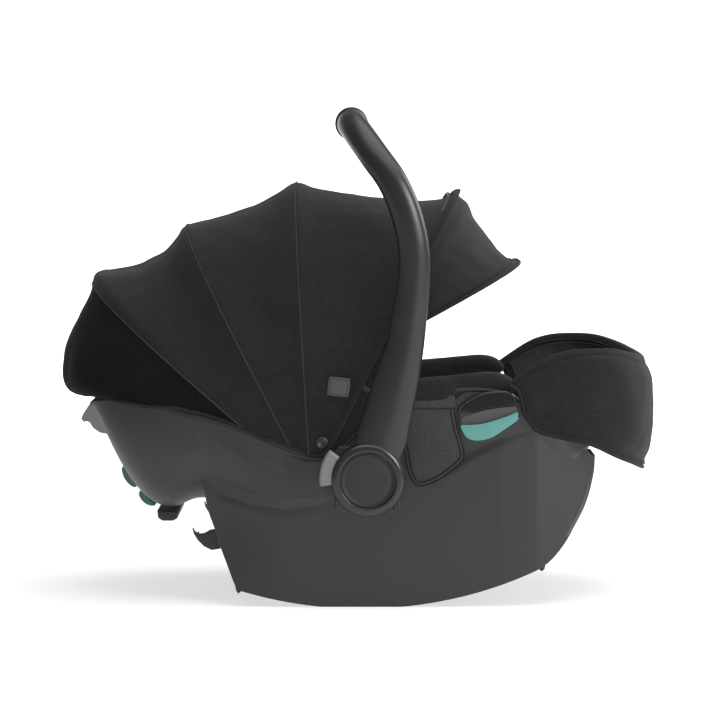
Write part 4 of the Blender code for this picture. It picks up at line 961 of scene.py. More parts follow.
def gore_points(index, rows=46, cols=150):
    """Fabric between two bows: arches whose crowns follow a slack line from bow to bow.

    Their sides end on the hem line. Tension folds fan out from the bows as low waves along
    the normal, strongest near the hem, and die out at both bows.
    """
    a0, a1 = SIDE_ANGLES[index]
    p0, p1 = POWERS[index]
    u = np.linspace(0, 1, rows)
    line = even(CROWNS[index], rows) - AXIS[[0, 2]]
    crown = np.linalg.norm(line, axis=1)
    crown_angle = np.degrees(np.arctan2(line[:, 1], line[:, 0]))
    side_angle = a0 + (a1 - a0) * u
    power = p0 + (p1 - p0) * u
    hem = np.interp(side_angle, HEM[:, 0], HEM[:, 1]) * MM
    low = np.arcsin(np.minimum(hem / crown, 0.95) ** (1 / power))
    t = np.linspace(0, 1, cols)
    q = t ** 1.25 / (t ** 1.25 + (1 - t) ** 1.25)
    angle = low[:, None] + (math.pi - 2 * low[:, None]) * q[None]
    r = crown[:, None] * np.sin(angle) ** power[:, None]
    y = -FABRIC_Y * signed_power(np.cos(angle), power[:, None])
    near = 1 - np.abs(y / FABRIC_Y) ** 3
    flank = side_angle[:, None]
    if index == 0:
        level = 166.3 - np.degrees(np.arcsin(np.clip(0.0455 / r, 0, 1)))
        flank = flank + (level - a0) * (1 - u[:, None]) ** 2
    turn = flank + (crown_angle[:, None] - flank) * near
    grid = around(turn, r, y)
    out = facing(normals(grid), grid, (-0.08, 0.0, 0.2))
    between = np.sin(math.pi * u)[:, None]
    sides = np.abs(y / FABRIC_Y) ** 4
    hollow = -0.0045 * between * sides * ease(r, 0.08, 0.2) * (1 - ease(r, 0.26, 0.32))
    folds = (0.0011 * between * wobble(grid, 0.085, 3 + index)
             + 0.0006 * between * wobble(grid, 0.035, 13 + index))
    return grid + out * (hollow + folds)[..., None], out


def hinge_weights(obj, centre, first, last):
    """Reads the points of a sheet's mesh and makes nothing from them."""
    p = coordinates(obj)


GORES = (
    ("gore_back", "canopy_fabric_back", "seat_shell", "canopy_bow_1"),
    ("gore_rear", "canopy_fabric_rear", "canopy_bow_1", "canopy_bow_2"),
    ("gore_middle", "canopy_fabric_middle", "canopy_bow_2", "canopy_bow_3"),
    ("gore_front", "canopy_fabric_front", "canopy_bow_3", "canopy_front"),
)


def make_canopy():
    """Four gores with a rolled hem, the seams over the bows, the front casing and the bows."""
    f = FINISHES
    ends = []
    for index, (name, node, low, high) in enumerate(GORES):
        grid, out = gore_points(index)
        ends.append((grid[-1], out[-1], unit(grid[-1] - grid[-2])))
        wide, long, area = sheet_size(grid)
        cloth = skin(name, grid, away=(-0.08, 0.0, 0.15))
        thicken(cloth, 0.0012, even_offset=False)
        # The back gore takes the knit with painted shade.
        piece(cloth, None, f["painted_shade_knit" if index == 0 else "knit"], node)
        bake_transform(cloth)
        for label, row in (("right", 0), ("left", -1)):
            edge = grid[:, row] + out[:, row] * 0.0004
            roll = tube(f"hem_{name[5:]}_{label}", edge, 0.0017, 10, up=(0, 1, 0))
            piece(roll, None, f["piping"])
            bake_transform(roll)
            hinge_weights(roll, AXIS, SIDE_ANGLES[index][0], SIDE_ANGLES[index][1])
        hinge_weights(cloth, AXIS, SIDE_ANGLES[index][0] if index else 160.8, SIDE_ANGLES[index][1])
        if index == 0:
            roll = tube("hem_back_edge", grid[0] + out[0] * 0.0004, 0.0021, 10, up=out[0])
            piece(roll, "seat_shell", f["piping"])
    for index, (turn, radius, half) in enumerate(BOWS):
        r, y = arch(radius, half, 0.62, 0.02, 121)
        r[0] = r[-1] = 0.0
        y[0], y[-1] = -half, half
        across = np.array((-math.sin(math.radians(turn)), 0.0, math.cos(math.radians(turn))))
        bar = tube(f"bow_bar_{index + 1}", around(turn, r, y), 0.002, 10, up=across)
        node = "front_bow" if index == 3 else f"bow_{index + 1}"
        piece(bar, BOW_BODIES[index], f["black"], node)
        for side_name, side in SIDES:
            eye = turned(f"bow_eye_{index + 1}_{side_name}",
                         [(0.0054, half - 0.0019), (0.0086, half - 0.0019), (0.009, half - 0.0014),
                          (0.009, half + 0.0014), (0.0086, half + 0.0019), (0.0054, half + 0.0019)], AXIS,
                         side, 32)
            piece(eye, BOW_BODIES[index], f["black"])
        path, out, ahead = ends[index]
        if index < 3:
            seam = tube(f"seam_{index + 1}", path + out * 0.0002, 0.0009, 8, up=out)
            piece(seam, BOW_BODIES[index], f["seam"])
        else:
            band = strip("front_casing", path, out, ahead, 0.0062, 0.0030)
            piece(band, "canopy_front", f["knit"])
            for k, shift in enumerate((-0.0066, 0.0058)):
                line = tube(f"casing_seam_{k + 1}", path + ahead * shift + out * 0.0006, 0.0008, 8, up=out)
                piece(line, "canopy_front", f["piping"])
    make_visor()
    make_canopy_trims()


def strip(name, path, out, ahead, half, rise):
    """A padded band along a path: half a squared ellipse of its width and rise across it."""
    v = np.linspace(-1, 1, 15)[:, None, None]
    grid = path + ahead * half * v + out * rise * np.sqrt(1 - v ** 2)
    obj = skin(name, grid, away=(-0.08, 0.0, 0.15))
    thicken(obj, 0.0008, even_offset=False)
    return obj


VISOR_CROWN = np.array([
    (113, 466), (119, 460), (125, 454.5), (131, 440), (137, 431), (149, 414.5), (161, 400),
    (174, 389), (186, 386)], float) * MM


def visor_points(rows=40, cols=120):
    """Visor: arches hinged at the kink, whose crowns run down from the front bow to the edge."""
    u = np.linspace(0, 1, rows)
    crown = even(VISOR_CROWN, rows)
    reach = crown - KINK[[0, 2]]
    half = 0.1790 - 0.0080 * u
    t = np.linspace(0, 1, cols)
    q = t ** 1.2 / (t ** 1.2 + (1 - t) ** 1.2)
    angle = 0.04 + (math.pi - 0.08) * q
    s = np.sin(angle) ** 0.62
    y = -half[:, None] * (signed_power(np.cos(angle), 0.62))[None]
    grid = np.stack([KINK[0] + reach[:, :1] * s, y, KINK[2] + reach[:, 1:] * s], -1)
    out = facing(normals(grid), grid, (0.0, 0.0, 0.30))
    slack = np.sin(math.pi * u)[:, None] * (0.0012 * wobble(grid, 0.07, 31) + 0.0007 * wobble(grid, 0.03, 37))
    return grid + out * slack[..., None]

VISOR_ANGLES = (60.5, 28.4)


def make_visor():
    """The visor's fabric, its wire edge and the row of stitches beside it."""
    f = FINISHES
    grid = visor_points()
    wide, long, area = sheet_size(grid)
    cloth = skin("visor_cloth", grid, away=(0.0, 0.0, 0.30))
    thicken(cloth, 0.0014, even_offset=False)
    piece(cloth, None, f["knit"], "visor_fabric")
    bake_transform(cloth)
    hinge_weights(cloth, KINK, *VISOR_ANGLES)
    wire = tube("visor_edge", grid[-1], 0.0024, 10, up=(0, 0, 1))
    piece(wire, "visor", f["piping"], "visor_wire")
    inner = grid[-4] + unit(grid[-4] - KINK) * 0.0004
    stitch = tube("visor_stitch", inner, 0.0007, 6)
    piece(stitch, None, f["piping"])
    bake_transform(stitch)
    hinge_weights(stitch, KINK, *VISOR_ANGLES)


# Outline of a dark sheet beside the front bow: painted shade standing for the shaded inside of the canopy.
SHADE_SHEET = np.array([
    (-40, 176), (-30, 198), (-16, 226), (0, 258), (12, 288), (19, 296), (27, 290), (24, 272),
    (15, 240), (2, 210), (-14, 186), (-28, 174)], float) * MM

TAB_BACK, TAB_FACE = 0.1858, 0.1882


def make_canopy_trims():
    """Dark sheets of painted shade, snap buttons, rubber tabs and bow clips on each side of the canopy."""
    f = FINISHES
    for name, side in SIDES:
        # A dark sheet of painted shade fills the open side of the canopy.
        web = slab("shade_sheet_" + name, even(SHADE_SHEET, 90, True), side * 0.1770, side * 0.1786, 0.0005)
        piece(web, "canopy_front", f["lining"])
        clip = np.array([(-1, 248), (9, 242), (12, 246), (2, 252)]) * MM
        clip = slab("bow_clip_" + name, even(clip, 48, True), side * 0.1784, side * 0.1815, 0.0010)
        piece(clip, "canopy_front", f["black"])
        snap = turned("snap_" + name, [(0.0001, 0.1855), (0.0066, 0.1855), (0.0071, 0.1866), (0.0069, 0.1880),
                                       (0.0058, 0.1889), (0.0046, 0.1890), (0.0040, 0.1882),
                                       (0.0001, 0.1880)],
                      np.array((-0.043, 0, 0.187)), side, 48, closed=False)
        piece(snap, "canopy_bow_3", f["black"])
        a = math.radians(-6)
        box = np.array([(-0.0120, -0.0105), (0.0120, -0.0105), (0.0120, 0.0105), (-0.0120, 0.0105)])
        turn = np.array([(math.cos(a), math.sin(a)), (-math.sin(a), math.cos(a))])
        corner = box @ turn + np.array((-0.024, 0.250))
        along = np.roll(corner, -1, 0) - corner
        cut = np.concatenate([corner + along * t for t in (0.12, 0.88)], 1).reshape(-1, 2)
        outline = even(cut, 72, True)
        tab = slab("rubber_tab_" + name, outline, side * TAB_BACK, side * TAB_FACE, 0.0008)
        piece(tab, "canopy_front", f["rubber"])
        frame_line = tube("tab_border_" + name, at_y(inset(outline, 0.0022), side * TAB_FACE), 0.0004, 6,
                          up=(0, 1, 0), closed=True)
        piece(frame_line, "canopy_front", f["black"])


# ---------------------------------------------------------------- seat

def on_seat(name, s_range, centre, width, low, high, power=0.5, rows=60, cols=32, ends=0.10):
    """A rounded slab along the seat: squared ellipses between two heights over its cover.

    Its ends shrink as a rounded rectangle's do.
    """
    t = np.linspace(0, 1, rows)
    s = s_range[0] + (s_range[1] - s_range[0]) * t
    edge = np.clip(np.minimum(t, 1 - t) / ends, 0, 1)
    close = np.sqrt(1 - (1 - edge) ** 2 * 0.92)
    middle = centre[0] + (centre[1] - centre[0]) * t
    spread = (width[0] + (width[1] - width[0]) * t) / 2
    turn = np.linspace(0, 2 * math.pi, cols, endpoint=False)
    c = signed_power(np.cos(turn), power)
    n = signed_power(np.sin(turn), power)
    y = middle[:, None] + spread[:, None] * c * (0.75 + 0.25 * close[:, None])
    deep = (high - low) / 2
    rise = (high + low) / 2 + deep * n * close[:, None]
    base, up = seat_point(np.broadcast_to(s[:, None], y.shape), y)
    return skin(name, base + up * rise[..., None], wrap=True, caps=True)


def cover_points():
    """Seat cover with sewn channels across it and along its two sides."""
    s = np.linspace(0, 1, 150)
    q = np.linspace(-1, 1, 111)
    grid = bucket(CAVITY, s, q)
    out = normals(grid)
    out = out * np.sign((out * (np.array((0.0, 0.0, 0.4)) - grid)).sum(-1, keepdims=True))
    lines = sum(bell(s, at, 0.006) for at in (0.30, 0.545, 0.755))[:, None]
    rails = bell(np.abs(q), 0.50, 0.016)[None] * ease(s, 0.05, 0.12)[:, None]
    puff = -0.0020 * np.maximum(lines, rails) + 0.0006 * wobble(grid, 0.05, 51)
    return grid + out * np.minimum(puff, 0.0004)[..., None]


def make_seat():
    """Cover, its turned-over border, the flaps and pads, and the piping round them."""
    f = FINISHES
    grid = cover_points()
    cover = skin("cover", grid, away=(0.0, 0.0, -10.0))
    thicken(cover, 0.008, even_offset=False)
    piece(cover, "seat_shell", f["knit"], "seat_cover")
    x = grid[:, 0, 0]
    for name, side in SIDES:
        edge = grid[:, 0 if side < 0 else -1]
        reach = np.where(x < -0.06, rim_half(x) - 0.004, rim_half(x) - 0.003)
        held_in = ease(x, -0.172, -0.158) * (1 - ease(x, -0.012, 0.012))
        out_y = reach * (1 - held_in) + 0.1515 * held_in
        out_z = rim_z(x) + 0.0005 + 0.010 * held_in
        v = np.linspace(0, 1, 15)[:, None]
        y = np.abs(edge[:, 1]) * (1 - v) + np.maximum(out_y, np.abs(edge[:, 1]) + 0.002) * v
        z = ((edge[:, 2] + 0.001) * (1 - v) + out_z * v
             + 0.0060 * (1 - ease(x, 0.010, 0.045)) * np.sin(math.pi * v) ** 0.8)
        strip_points = np.stack([np.broadcast_to(x, y.shape), side * y, z], -1)
        border = skin("cover_border_" + name, strip_points, away=(0.0, 0.0, -10.0))
        thicken(border, 0.002, even_offset=False)
        piece(border, "seat_shell", f["knit"])
    insert = on_seat("inlay", (0.315, 0.740), (0, 0), (0.186, 0.196), 0.0042, 0.0150, 0.45, 90, 64, 0.12)
    swell(insert, 0.006, start=0.0008)
    tuft(insert, (0.42, 0.56, 0.67))
    piece(insert, "seat_shell", f["knit_solid"], "body_insert")
    head = on_seat("head_cushion", (0.090, 0.290), (0, 0), (0.124, 0.200), 0.0042, 0.0160, 0.45, 60, 64, 0.14)
    swell(head, 0.006, start=0.0008)
    piece(head, "seat_shell", f["knit_solid"], "head_pad")
    for name, side in SIDES:
        make_bolster(name, side)
        make_flap(name, side)


def tuft(obj, lines):
    """Presses sewn channels across a pad at places along the seat."""
    p = coordinates(obj)
    s = np.linspace(0.25, 0.80, 400)
    centre = seat_point(s, np.zeros(400))[0]
    near = np.abs(centre[:, 0][None] - p[:, 0][:, None]).argmin(1)
    up = seat_point(s[near], np.clip(p[:, 1], -0.12, 0.12))[1]
    depth = sum(bell(s[near], at, 0.008) for at in lines) * (np.abs(p[:, 1]) < 0.085)
    move(obj, p - up * np.minimum(depth, 1.0)[:, None] * 0.0028)


def make_bolster(name, side):
    """Side roll over the rim: squared ellipses from the panel seam up to a rising crown, filled as cloth."""
    f = FINISHES
    x = np.linspace(0.034, 0.178, 60)
    t = np.linspace(0, 1, 60)
    close = np.sqrt(1 - (1 - np.clip(np.minimum(t / 0.22, (1 - t) / 0.12), 0, 1)) ** 2 * 0.95)
    crown = np.interp(x, (0.034, 0.060, 0.105, 0.149, 0.165, 0.178),
                      (0.250, 0.2585, 0.2595, 0.2665, 0.264, 0.259))
    foot = np.interp(x, (0.034, 0.060, 0.100, 0.118, 0.178), (0.222, 0.2262, 0.2262, 0.236, 0.240))
    outer = np.interp(x, (0.034, 0.098, 0.112, 0.178), (0.1885, 0.1885, 0.1838, 0.1815))
    turn = np.linspace(0, 2 * math.pi, 40, endpoint=False)
    c = signed_power(np.cos(turn), 0.75)
    n = signed_power(np.sin(turn), 0.75)
    wide = (outer - 0.1480)[:, None] / 2
    y = 0.1480 + wide + wide * c * (0.8 + 0.2 * close[:, None])
    z = (crown + foot)[:, None] / 2 + (crown - foot)[:, None] / 2 * n * close[:, None]
    grid = np.stack([np.broadcast_to(x[:, None], y.shape), side * y, z], -1)
    pad = skin("bolster_pad_" + name, grid, wrap=True, caps=True)
    swell(pad, 0.005, voxel=0.004, start=0.0006)
    piece(pad, "seat_shell", f["knit_solid"], "bolster_" + name)


FLAP = np.array([
    (34, 212), (46, 228), (60, 236.5), (82, 239.5), (105, 239.5), (107, 225), (110.5, 205),
    (115, 190), (118.5, 172), (113, 162), (98, 150), (84, 141.5), (69, 137), (60, 141), (53, 158),
    (48.5, 182), (40, 198)], float) * MM


def make_flap(name, side):
    """Quilted side panel over the rim: a crowned slab with two piping lines inside its edge."""
    f = FINISHES
    outline = even(FLAP, 200, True)
    low = SKIRT + 0.0006
    panel = slab("flap_" + name, outline, side * low, side * (low + 0.0032), 0.0016, crown=0.0022)
    # The flap takes the lighter knit, which is painted light.
    piece(panel, "seat_shell", f["painted_light_knit"], "side_flap_" + name)
    below = outline[:, 1] < 0.2262
    first = int(np.argmax(below & ~np.roll(below, 1)))
    line = np.roll(outline, -first, 0)[: below.sum()]
    for k, gap in enumerate((0.0010, 0.0050)):
        path = np.roll(inset(outline, gap), -first, 0)[: len(line)]
        path = at_y(path, side * (low + 0.0034 + 0.0004 * k))
        cord = tube(f"flap_piping_{name}_{k + 1}", path, 0.0009, 8, up=(0, 1, 0))
        piece(cord, "seat_shell", f["piping"])
    x = np.linspace(0.044, 0.107, 40)
    sewn = tube("flap_seam_" + name, np.column_stack([x, np.full(40, side * (low + 0.0050)),
                                                      0.2258 + 0.0006 * np.sin(x * 60)]),
                0.0006, 6, up=(0, 1, 0))
    piece(sewn, "seat_shell", f["piping"])


# ---------------------------------------------------------------- harness

def make_harness():
    """Straps, shoulder pads, tongue, buckle and adjuster, following the seat."""
    f = FINISHES
    rise = 0.0176
    for name, side in SIDES:
        strap = on_seat("strap_" + name, (0.33, 0.572), (side * 0.046, side * 0.021), (0.030, 0.030),
                        rise, rise + 0.0020, 0.25, 60, 20, 0.01)
        piece(strap, "seat_shell", f["webbing"], "harness_strap_" + name)
        pad = on_seat("strap_pad_" + name, (0.347, 0.483), (side * 0.0450, side * 0.0305), (0.046, 0.042),
                      rise + 0.0023, rise + 0.0105, 0.55, 70, 40, 0.12)
        piece(pad, "seat_shell", f["knit"], "shoulder_pad_" + name)
        t = np.linspace(0, 1, 120)
        s = 0.415 + 0.061 * np.cos(2 * math.pi * t)
        wide = signed_power(np.sin(2 * math.pi * t), 0.35) * 0.0185
        y = side * (0.0450 + (0.0305 - 0.0450) * (s - 0.345) / 0.14) + wide
        base, up = seat_point(s[:-1], y[:-1])
        sewn = tube("pad_stitch_" + name, base + up * (rise + 0.0092), 0.0005, 6, closed=True)
        piece(sewn, "seat_shell", f["thread"])
    tongue = on_seat("tongue", (0.575, 0.596), (0, 0), (0.064, 0.040), rise + 0.0010, rise + 0.0048, 0.3,
                     24, 32, 0.15)
    piece(tongue, "seat_shell", f["steel"], "buckle_tongue")
    slabs = (("buckle", "buckle_body", (0.600, 0.688), (0.0455, 0.040), rise, rise + 0.0165),
             ("adjuster", "adjuster_housing", (0.790, 0.845), (0.050, 0.046), 0.0030, 0.0148))
    for name, node, span, width, low, high in slabs:
        block = on_seat(name, span, (0, 0), width, low, high, 0.35, 48, 48, 0.14)
        piece(block, "seat_shell", f["black"], node)
    for name, node, body, centre, size, finish, slot in (
            ("buckle_press_pad", "buckle_button", "buckle_press", 0.642, 0.0172, "red", "red_plastic"),
            ("adjuster_press_pad", "adjuster_button", "adjuster_press", 0.816, 0.0118, "button",
             "grey_plastic")):
        base, up = seat_point(np.array([centre]), np.array([0.0]))
        base, up = base[0], up[0]
        along = unit(np.cross(Y, up))
        top = rise + 0.0170 if node == "buckle_button" else 0.0150
        turn = np.linspace(0, 2 * math.pi, 48, endpoint=False)
        c = signed_power(np.cos(turn), 0.4)
        n = signed_power(np.sin(turn), 0.4)
        rows = []
        for scale, height in ((0.96, -0.0040), (1.0, -0.0034), (1.0, 0.0008), (0.97, 0.0016), (0.85, 0.0021),
                              (0.5, 0.0016), (0.1, 0.0013)):
            rows.append(base + up * (top + height) + (along * (size / 2) * scale) * c[:, None]
                        + (Y * 0.0118 * scale) * n[:, None])
        press = skin(name, np.array(rows), wrap=True, caps=True)
        piece(press, body, f[finish], node)
    for name, node, span, width, low in (("crotch_belt", "crotch_strap", (0.690, 0.742), 0.030, rise),
                                         ("pull_strap", "adjuster_strap", (0.848, 0.936), 0.025, 0.0030)):
        belt = on_seat(name, span, (0, 0), (width, width), low, low + 0.002, 0.25, 40, 20, 0.02)
        piece(belt, "seat_shell", f["webbing"], node)


# ---------------------------------------------------------------- foot cover

FOOT = np.array([
     [(168, 186, 255), (204, 185, 279), (226, 182, 288), (250, 177, 291.5), (286, 160, 291.5),
    (312, 128, 285.5), (328, 76, 279), (334, 0, 276)], [(176, 187, 247), (206, 187, 262),
    (238, 184.5, 271), (272, 176, 274), (304, 156, 269), (327, 118, 258), (338, 66, 250),
    (341.5, 0, 246)], [(181, 187.5, 236), (206, 187.5, 236), (240, 185, 238), (276, 176.5, 236),
    (308, 157, 231), (330, 119, 222), (340, 66, 213), (343.5, 0, 209)], [(184, 187.5, 222),
    (202, 187.5, 210), (236, 184.5, 205), (272, 175.5, 201), (305, 155, 194), (327, 116, 184),
    (337.5, 64, 176), (341, 0, 172)], [(190, 187, 211), (202, 186.5, 199), (230, 182, 191),
    (262, 172, 183), (292, 150, 168), (314, 112, 157), (328, 62, 148),
    (333, 0, 144)], ], float) * MM


def foot_points(rows=60, cols=200):
    """Foot cover: five half outlines, mirrored, blended from its top edge to its lower edge.

    A seam runs under the top edge, and low waves pull towards the nose's corners.
    """
    top = FOOT[0]
    run = unit(np.gradient(top[:, :2], axis=0))
    inward = np.column_stack([run[:, 1], -run[:, 0], np.zeros(len(run))])
    roll = np.array([top + inward * 0.0095 - (0, 0, 0.0080), top + inward * 0.0072 - (0, 0, 0.0016),
                     top + inward * 0.0032 + (0, 0, 0.0004), top - (0, 0, 0.0030)])
    half = np.concatenate([roll, FOOT[1:]])
    whole = np.concatenate([half * (1, -1, 1), half[:, -2::-1]], 1)
    fine = np.array([even(row, cols) for row in whole])
    v = np.linspace(0, 1, rows)
    grid = curve(fine, v)
    out = facing(normals(grid), grid, (0.15, 0.0, 0.21))
    seam = -0.0014 * bell(v, 0.475, 0.010)
    folds = 0.0010 * wobble(grid, 0.09, 71) + 0.0006 * wobble(grid, 0.032, 73)
    fade = ease(v, 0.45, 0.55) * (1 - ease(v, 0.92, 1.0))
    return grid + out * (seam[:, None] + folds * fade[:, None])[..., None], out


def outline_of(grid, out, distance, rise):
    """Line at a distance from one opening edge, the lower edge and the other opening edge.

    Its places on the grid are a smooth path with rounded corners, read bilinearly.
    """
    rows, cols = grid.shape[:2]
    i = distance / np.linalg.norm(np.diff(grid[30:, 40], axis=0), axis=1).mean()
    j = distance / np.linalg.norm(np.diff(grid[-1, :40], axis=0), axis=1).mean()
    low, far = rows - 1 - i, cols - 1 - j
    spots = [(26, j), (34, j), (42, j), (low - 7, j), (low - 2.2, j + 0.9), (low - 0.3, j + 4)]
    spots += [(low, j + 8), (low, j + 16)] + [(low, c) for c in np.linspace(j + 28, far - 28, 12)]
    spots += [(low, far - 16), (low, far - 8), (low - 0.3, far - 4), (low - 2.2, far - 0.9), (low - 7, far),
              (42, far), (34, far), (26, far)]
    place = even(np.array(spots, float) * (1, 0.25), 420) * (1, 4)
    a = np.clip(place[:, 0], 0, rows - 1.001)
    b = np.clip(place[:, 1], 0, cols - 1.001)
    ia, ib = a.astype(int), b.astype(int)
    fa, fb = (a - ia)[:, None], (b - ib)[:, None]
    lifted = grid + out * rise
    return ((1 - fa) * (1 - fb) * lifted[ia, ib] + fa * (1 - fb) * lifted[ia + 1, ib]
            + (1 - fa) * fb * lifted[ia, ib + 1] + fa * fb * lifted[ia + 1, ib + 1])


def make_foot_cover():
    """The cover over the feet: outer skin, lining, bound edges and its floor."""
    f = FINISHES
    grid, out = foot_points()
    outer = skin("foot_basket", grid, away=(0.15, 0.0, 0.21))
    thicken(outer, 0.0028, even_offset=False)
    piece(outer, "seat_shell", f["knit"], "foot_cover")
    inner = skin("foot_lining", grid[30:-2, 3:-3] - out[30:-2, 3:-3] * 0.0034, away=(0.15, 0.0, 0.21))
    thicken(inner, 0.0008, even_offset=False)
    # The lining is painted lighter, standing for light inside the foot cover.
    piece(inner, "seat_shell", f["painted_light_lining_knit"])
    paths = (("top", grid[0], 0.0012), ("rim", outline_of(grid, out, 0.0004, 0.0), 0.0020),
             ("welt_1", outline_of(grid, out, 0.0056, 0.0006), 0.0009),
             ("welt_2", outline_of(grid, out, 0.0078, 0.0004), 0.0007))
    for name, path, size in paths:
        cord = tube("foot_" + name, path, size, 8, up=(0.31, 0.2, 1.0))
        piece(cord, "seat_shell", f["piping"])
    seam = tube("foot_seam", grid[28, 4:-4] + out[28, 4:-4] * 0.0001, 0.0007, 8)
    piece(seam, "seat_shell", f["piping"])
    floor = np.array([(253, 140, 199), (270, 132, 192), (286, 120, 181), (302, 100, 172), (318, 58, 165)],
                     float) * MM
    row = curve(floor, np.linspace(0, 1, 40))
    u = np.linspace(-1, 1, 60)
    low = np.stack([np.broadcast_to(row[:, :1], (40, 60)), row[:, 1:2] * u,
                    np.broadcast_to(row[:, 2:], (40, 60))], -1)
    low[..., 2] += 0.0006 * wobble(low, 0.05, 81)
    base = skin("foot_floor", low, away=(0.28, 0.0, -1.0))
    thicken(base, 0.005, even_offset=False)
    piece(base, "seat_shell", f["lining"], "foot_cover_floor")


# ---------------------------------------------------------------- belt guides, rear and underside

GUIDE = np.array([
    (110.5, 224), (121, 235), (139, 243.5), (157, 245.5), (168, 244.5), (175.5, 238), (177.5, 216),
    (164, 205), (148, 195), (130, 191.5), (119.5, 196), (114, 206)], float) * MM
LIP = np.array([
    (113.5, 207), (124, 207.6), (135, 208.5), (146, 211.2), (157, 214.5), (167, 218), (177, 222),
    (177.4, 217.5), (177, 213), (170.5, 208.3), (164, 203.5), (156, 198.2), (148, 193.5),
    (139.5, 190.9), (131, 190), (124, 191.4), (119, 194.5), (115.5, 200)], float) * MM

BAND = np.array([
    (113.5, 208), (116, 214.5), (123.4, 218.2), (137.4, 222.7), (151.5, 225.5), (165.5, 227),
    (176, 226.6), (176.5, 219), (165, 209), (150, 201), (134, 197.5), (121, 200)], float) * MM


def make_belt_guides():
    """Gloss pocket with a bright rim and slate band, and the teal hook in front of it."""
    f = FINISHES
    inner = SKIRT + 0.0004
    face = inner + 0.0056
    for name, side in SIDES:
        outline = even(GUIDE, 120, True)
        pocket = slab("guide_pocket_" + name, outline, side * inner, side * face, 0.0012)
        piece(pocket, "seat_shell", f["gloss"], "belt_guide_" + name)
        line = inset(outline, 0.0012)
        rim = tube("guide_rim_" + name, at_y(line, side * (face + 0.0001)),
                   0.0012, 10, up=(0, 1, 0), closed=True)
        piece(rim, "seat_shell", f["gloss"])
        band = slab("guide_band_" + name, even(BAND, 90, True), side * (face - 0.0002),
                    side * (face + 0.0012), 0.0004)
        piece(band, "seat_shell", f["band"])
        lip = even(LIP, 140, True)
        hook = slab("guide_hook_" + name, lip, side * (face + 0.0055), side * (face + 0.0086), 0.0009)
        piece(hook, "seat_shell", f["teal"], "belt_guide_lip_" + name)
        low = np.array([(177, 213), (164, 203.5), (148, 193.5), (131, 190), (119, 194.5)]) * MM
        ledge = np.concatenate([low, (low + (0.001, 0.003))[::-1]])
        shelf = slab("guide_shelf_" + name, even(ledge, 60, True), side * (face + 0.0004),
                     side * (face + 0.0080), 0.0004)
        piece(shelf, "seat_shell", f["teal"])


LEVER = np.array([
    (-311, 222), (-317, 219), (-323.5, 209), (-326, 203), (-323, 199), (-319, 200), (-316, 198.5),
    (-312, 192), (-304, 186.5), (-295.5, 185), (-294.5, 189.5), (-308.5, 222)], float) * MM
BUMPER = np.array([(-235, 99), (-234, 91), (-229, 87.5), (-217, 87.5), (-212, 90), (-211, 98)], float) * MM
HOOK = np.array([
    (-191, 87), (-188, 82.5), (-183, 79.5), (-177, 80.5), (-171, 84), (-160, 86), (-150, 84.5),
    (-143, 81), (-142, 74), (-148, 68), (-158, 63), (-169, 61), (-178, 65.5), (-185, 72.5),
    (-189.5, 80)], float) * MM


def dense(outline, step=0.0015):
    """A closed polyline with points added along its straight sides."""
    out = []
    for a, b in zip(outline, np.roll(outline, -1, 0)):
        n = max(1, int(np.linalg.norm(b - a) / step))
        out.append(a + (b - a) * np.linspace(0, 1, n, endpoint=False)[:, None])
    return np.concatenate(out)


def make_rear():
    """Release lever, belt guides, foot block, latch shaft and latch hooks."""
    f = FINISHES
    lever = slab("lever", dense(LEVER), -0.045, 0.045, 0.0010)
    piece(lever, "rear_release", f["button"], "release_lever")
    for label, rows in (("upper", (3.1, 4.1)), ("lower", (4.35, 5.25))):
        s = np.linspace(rows[0], rows[1], 40) / 18
        row = curve(BUCKET, s)
        run = unit(np.gradient(row[:, :2], axis=0))
        out = np.column_stack([run[:, 1], -run[:, 0]])
        near = row[:, :2] + out * 0.0014
        far = near + out * (0.0008 + 0.005 * np.sin(np.linspace(0, math.pi, 40)) ** 0.5)[:, None]
        guide = slab("back_guide_" + label, dense(np.concatenate([near, far[::-1]])), -0.062, 0.062, 0.0006)
        piece(guide, "seat_shell", f["green"], "rear_belt_guide_" + label)
    block = slab("foot_block", dense(BUMPER), -0.085, 0.085, 0.0012)
    piece(block, "seat_shell", f["black"], "rear_bumper")
    shaft = turned("latch_shaft", [(0.0001, -0.166), (0.0034, -0.166), (0.0040, -0.1654), (0.0040, 0.1654),
                                   (0.0034, 0.166), (0.0001, 0.166)], np.array((-0.150, 0, 0.076)), 1, 40,
                   closed=False)
    piece(shaft, "base_latch", f["steel"], "latch_hooks")
    for name, side in SIDES:
        hook = slab("hook_" + name, dense(HOOK), side * 0.144, side * 0.152, 0.0010)
        piece(hook, "base_latch", f["black"])
        for k in range(5):
            x, z = -0.184 + k * 0.0062, (0.0745, 0.0688, 0.0640, 0.0625, 0.0640)[k]
            rib = np.array([(x - 0.0008, z), (x + 0.0008, z - 0.0004), (x + 0.0012, z + 0.008),
                            (x - 0.0004, z + 0.008)])
            bar = slab(f"hook_rib_{name}_{k}", rib, side * 0.1515, side * 0.1527, 0.0003, steps=3)
            piece(bar, "base_latch", f["black"])


def dress_solids():
    """Finishes for the solids that keep their own shape."""
    f = FINISHES
    names = {
        "foam_liner": "foam", "latch_bracket": "black",
        "front_anchor_bar": "steel", "rear_anchor_bar": "steel",
        "handle_crossbar": "steel",
    }
    for side_name, _ in SIDES:
        names.update({"canopy_pin_" + side_name: "black", "pivot_pin_" + side_name: "steel",
                      "hub_spring_" + side_name: "steel", "lock_gear_" + side_name: "button"})
    for node, finish in names.items():
        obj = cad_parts[node]
        obj.data.materials.clear()
        obj.data.materials.append(f[finish])


# ---------------------------------------------------------------- stage

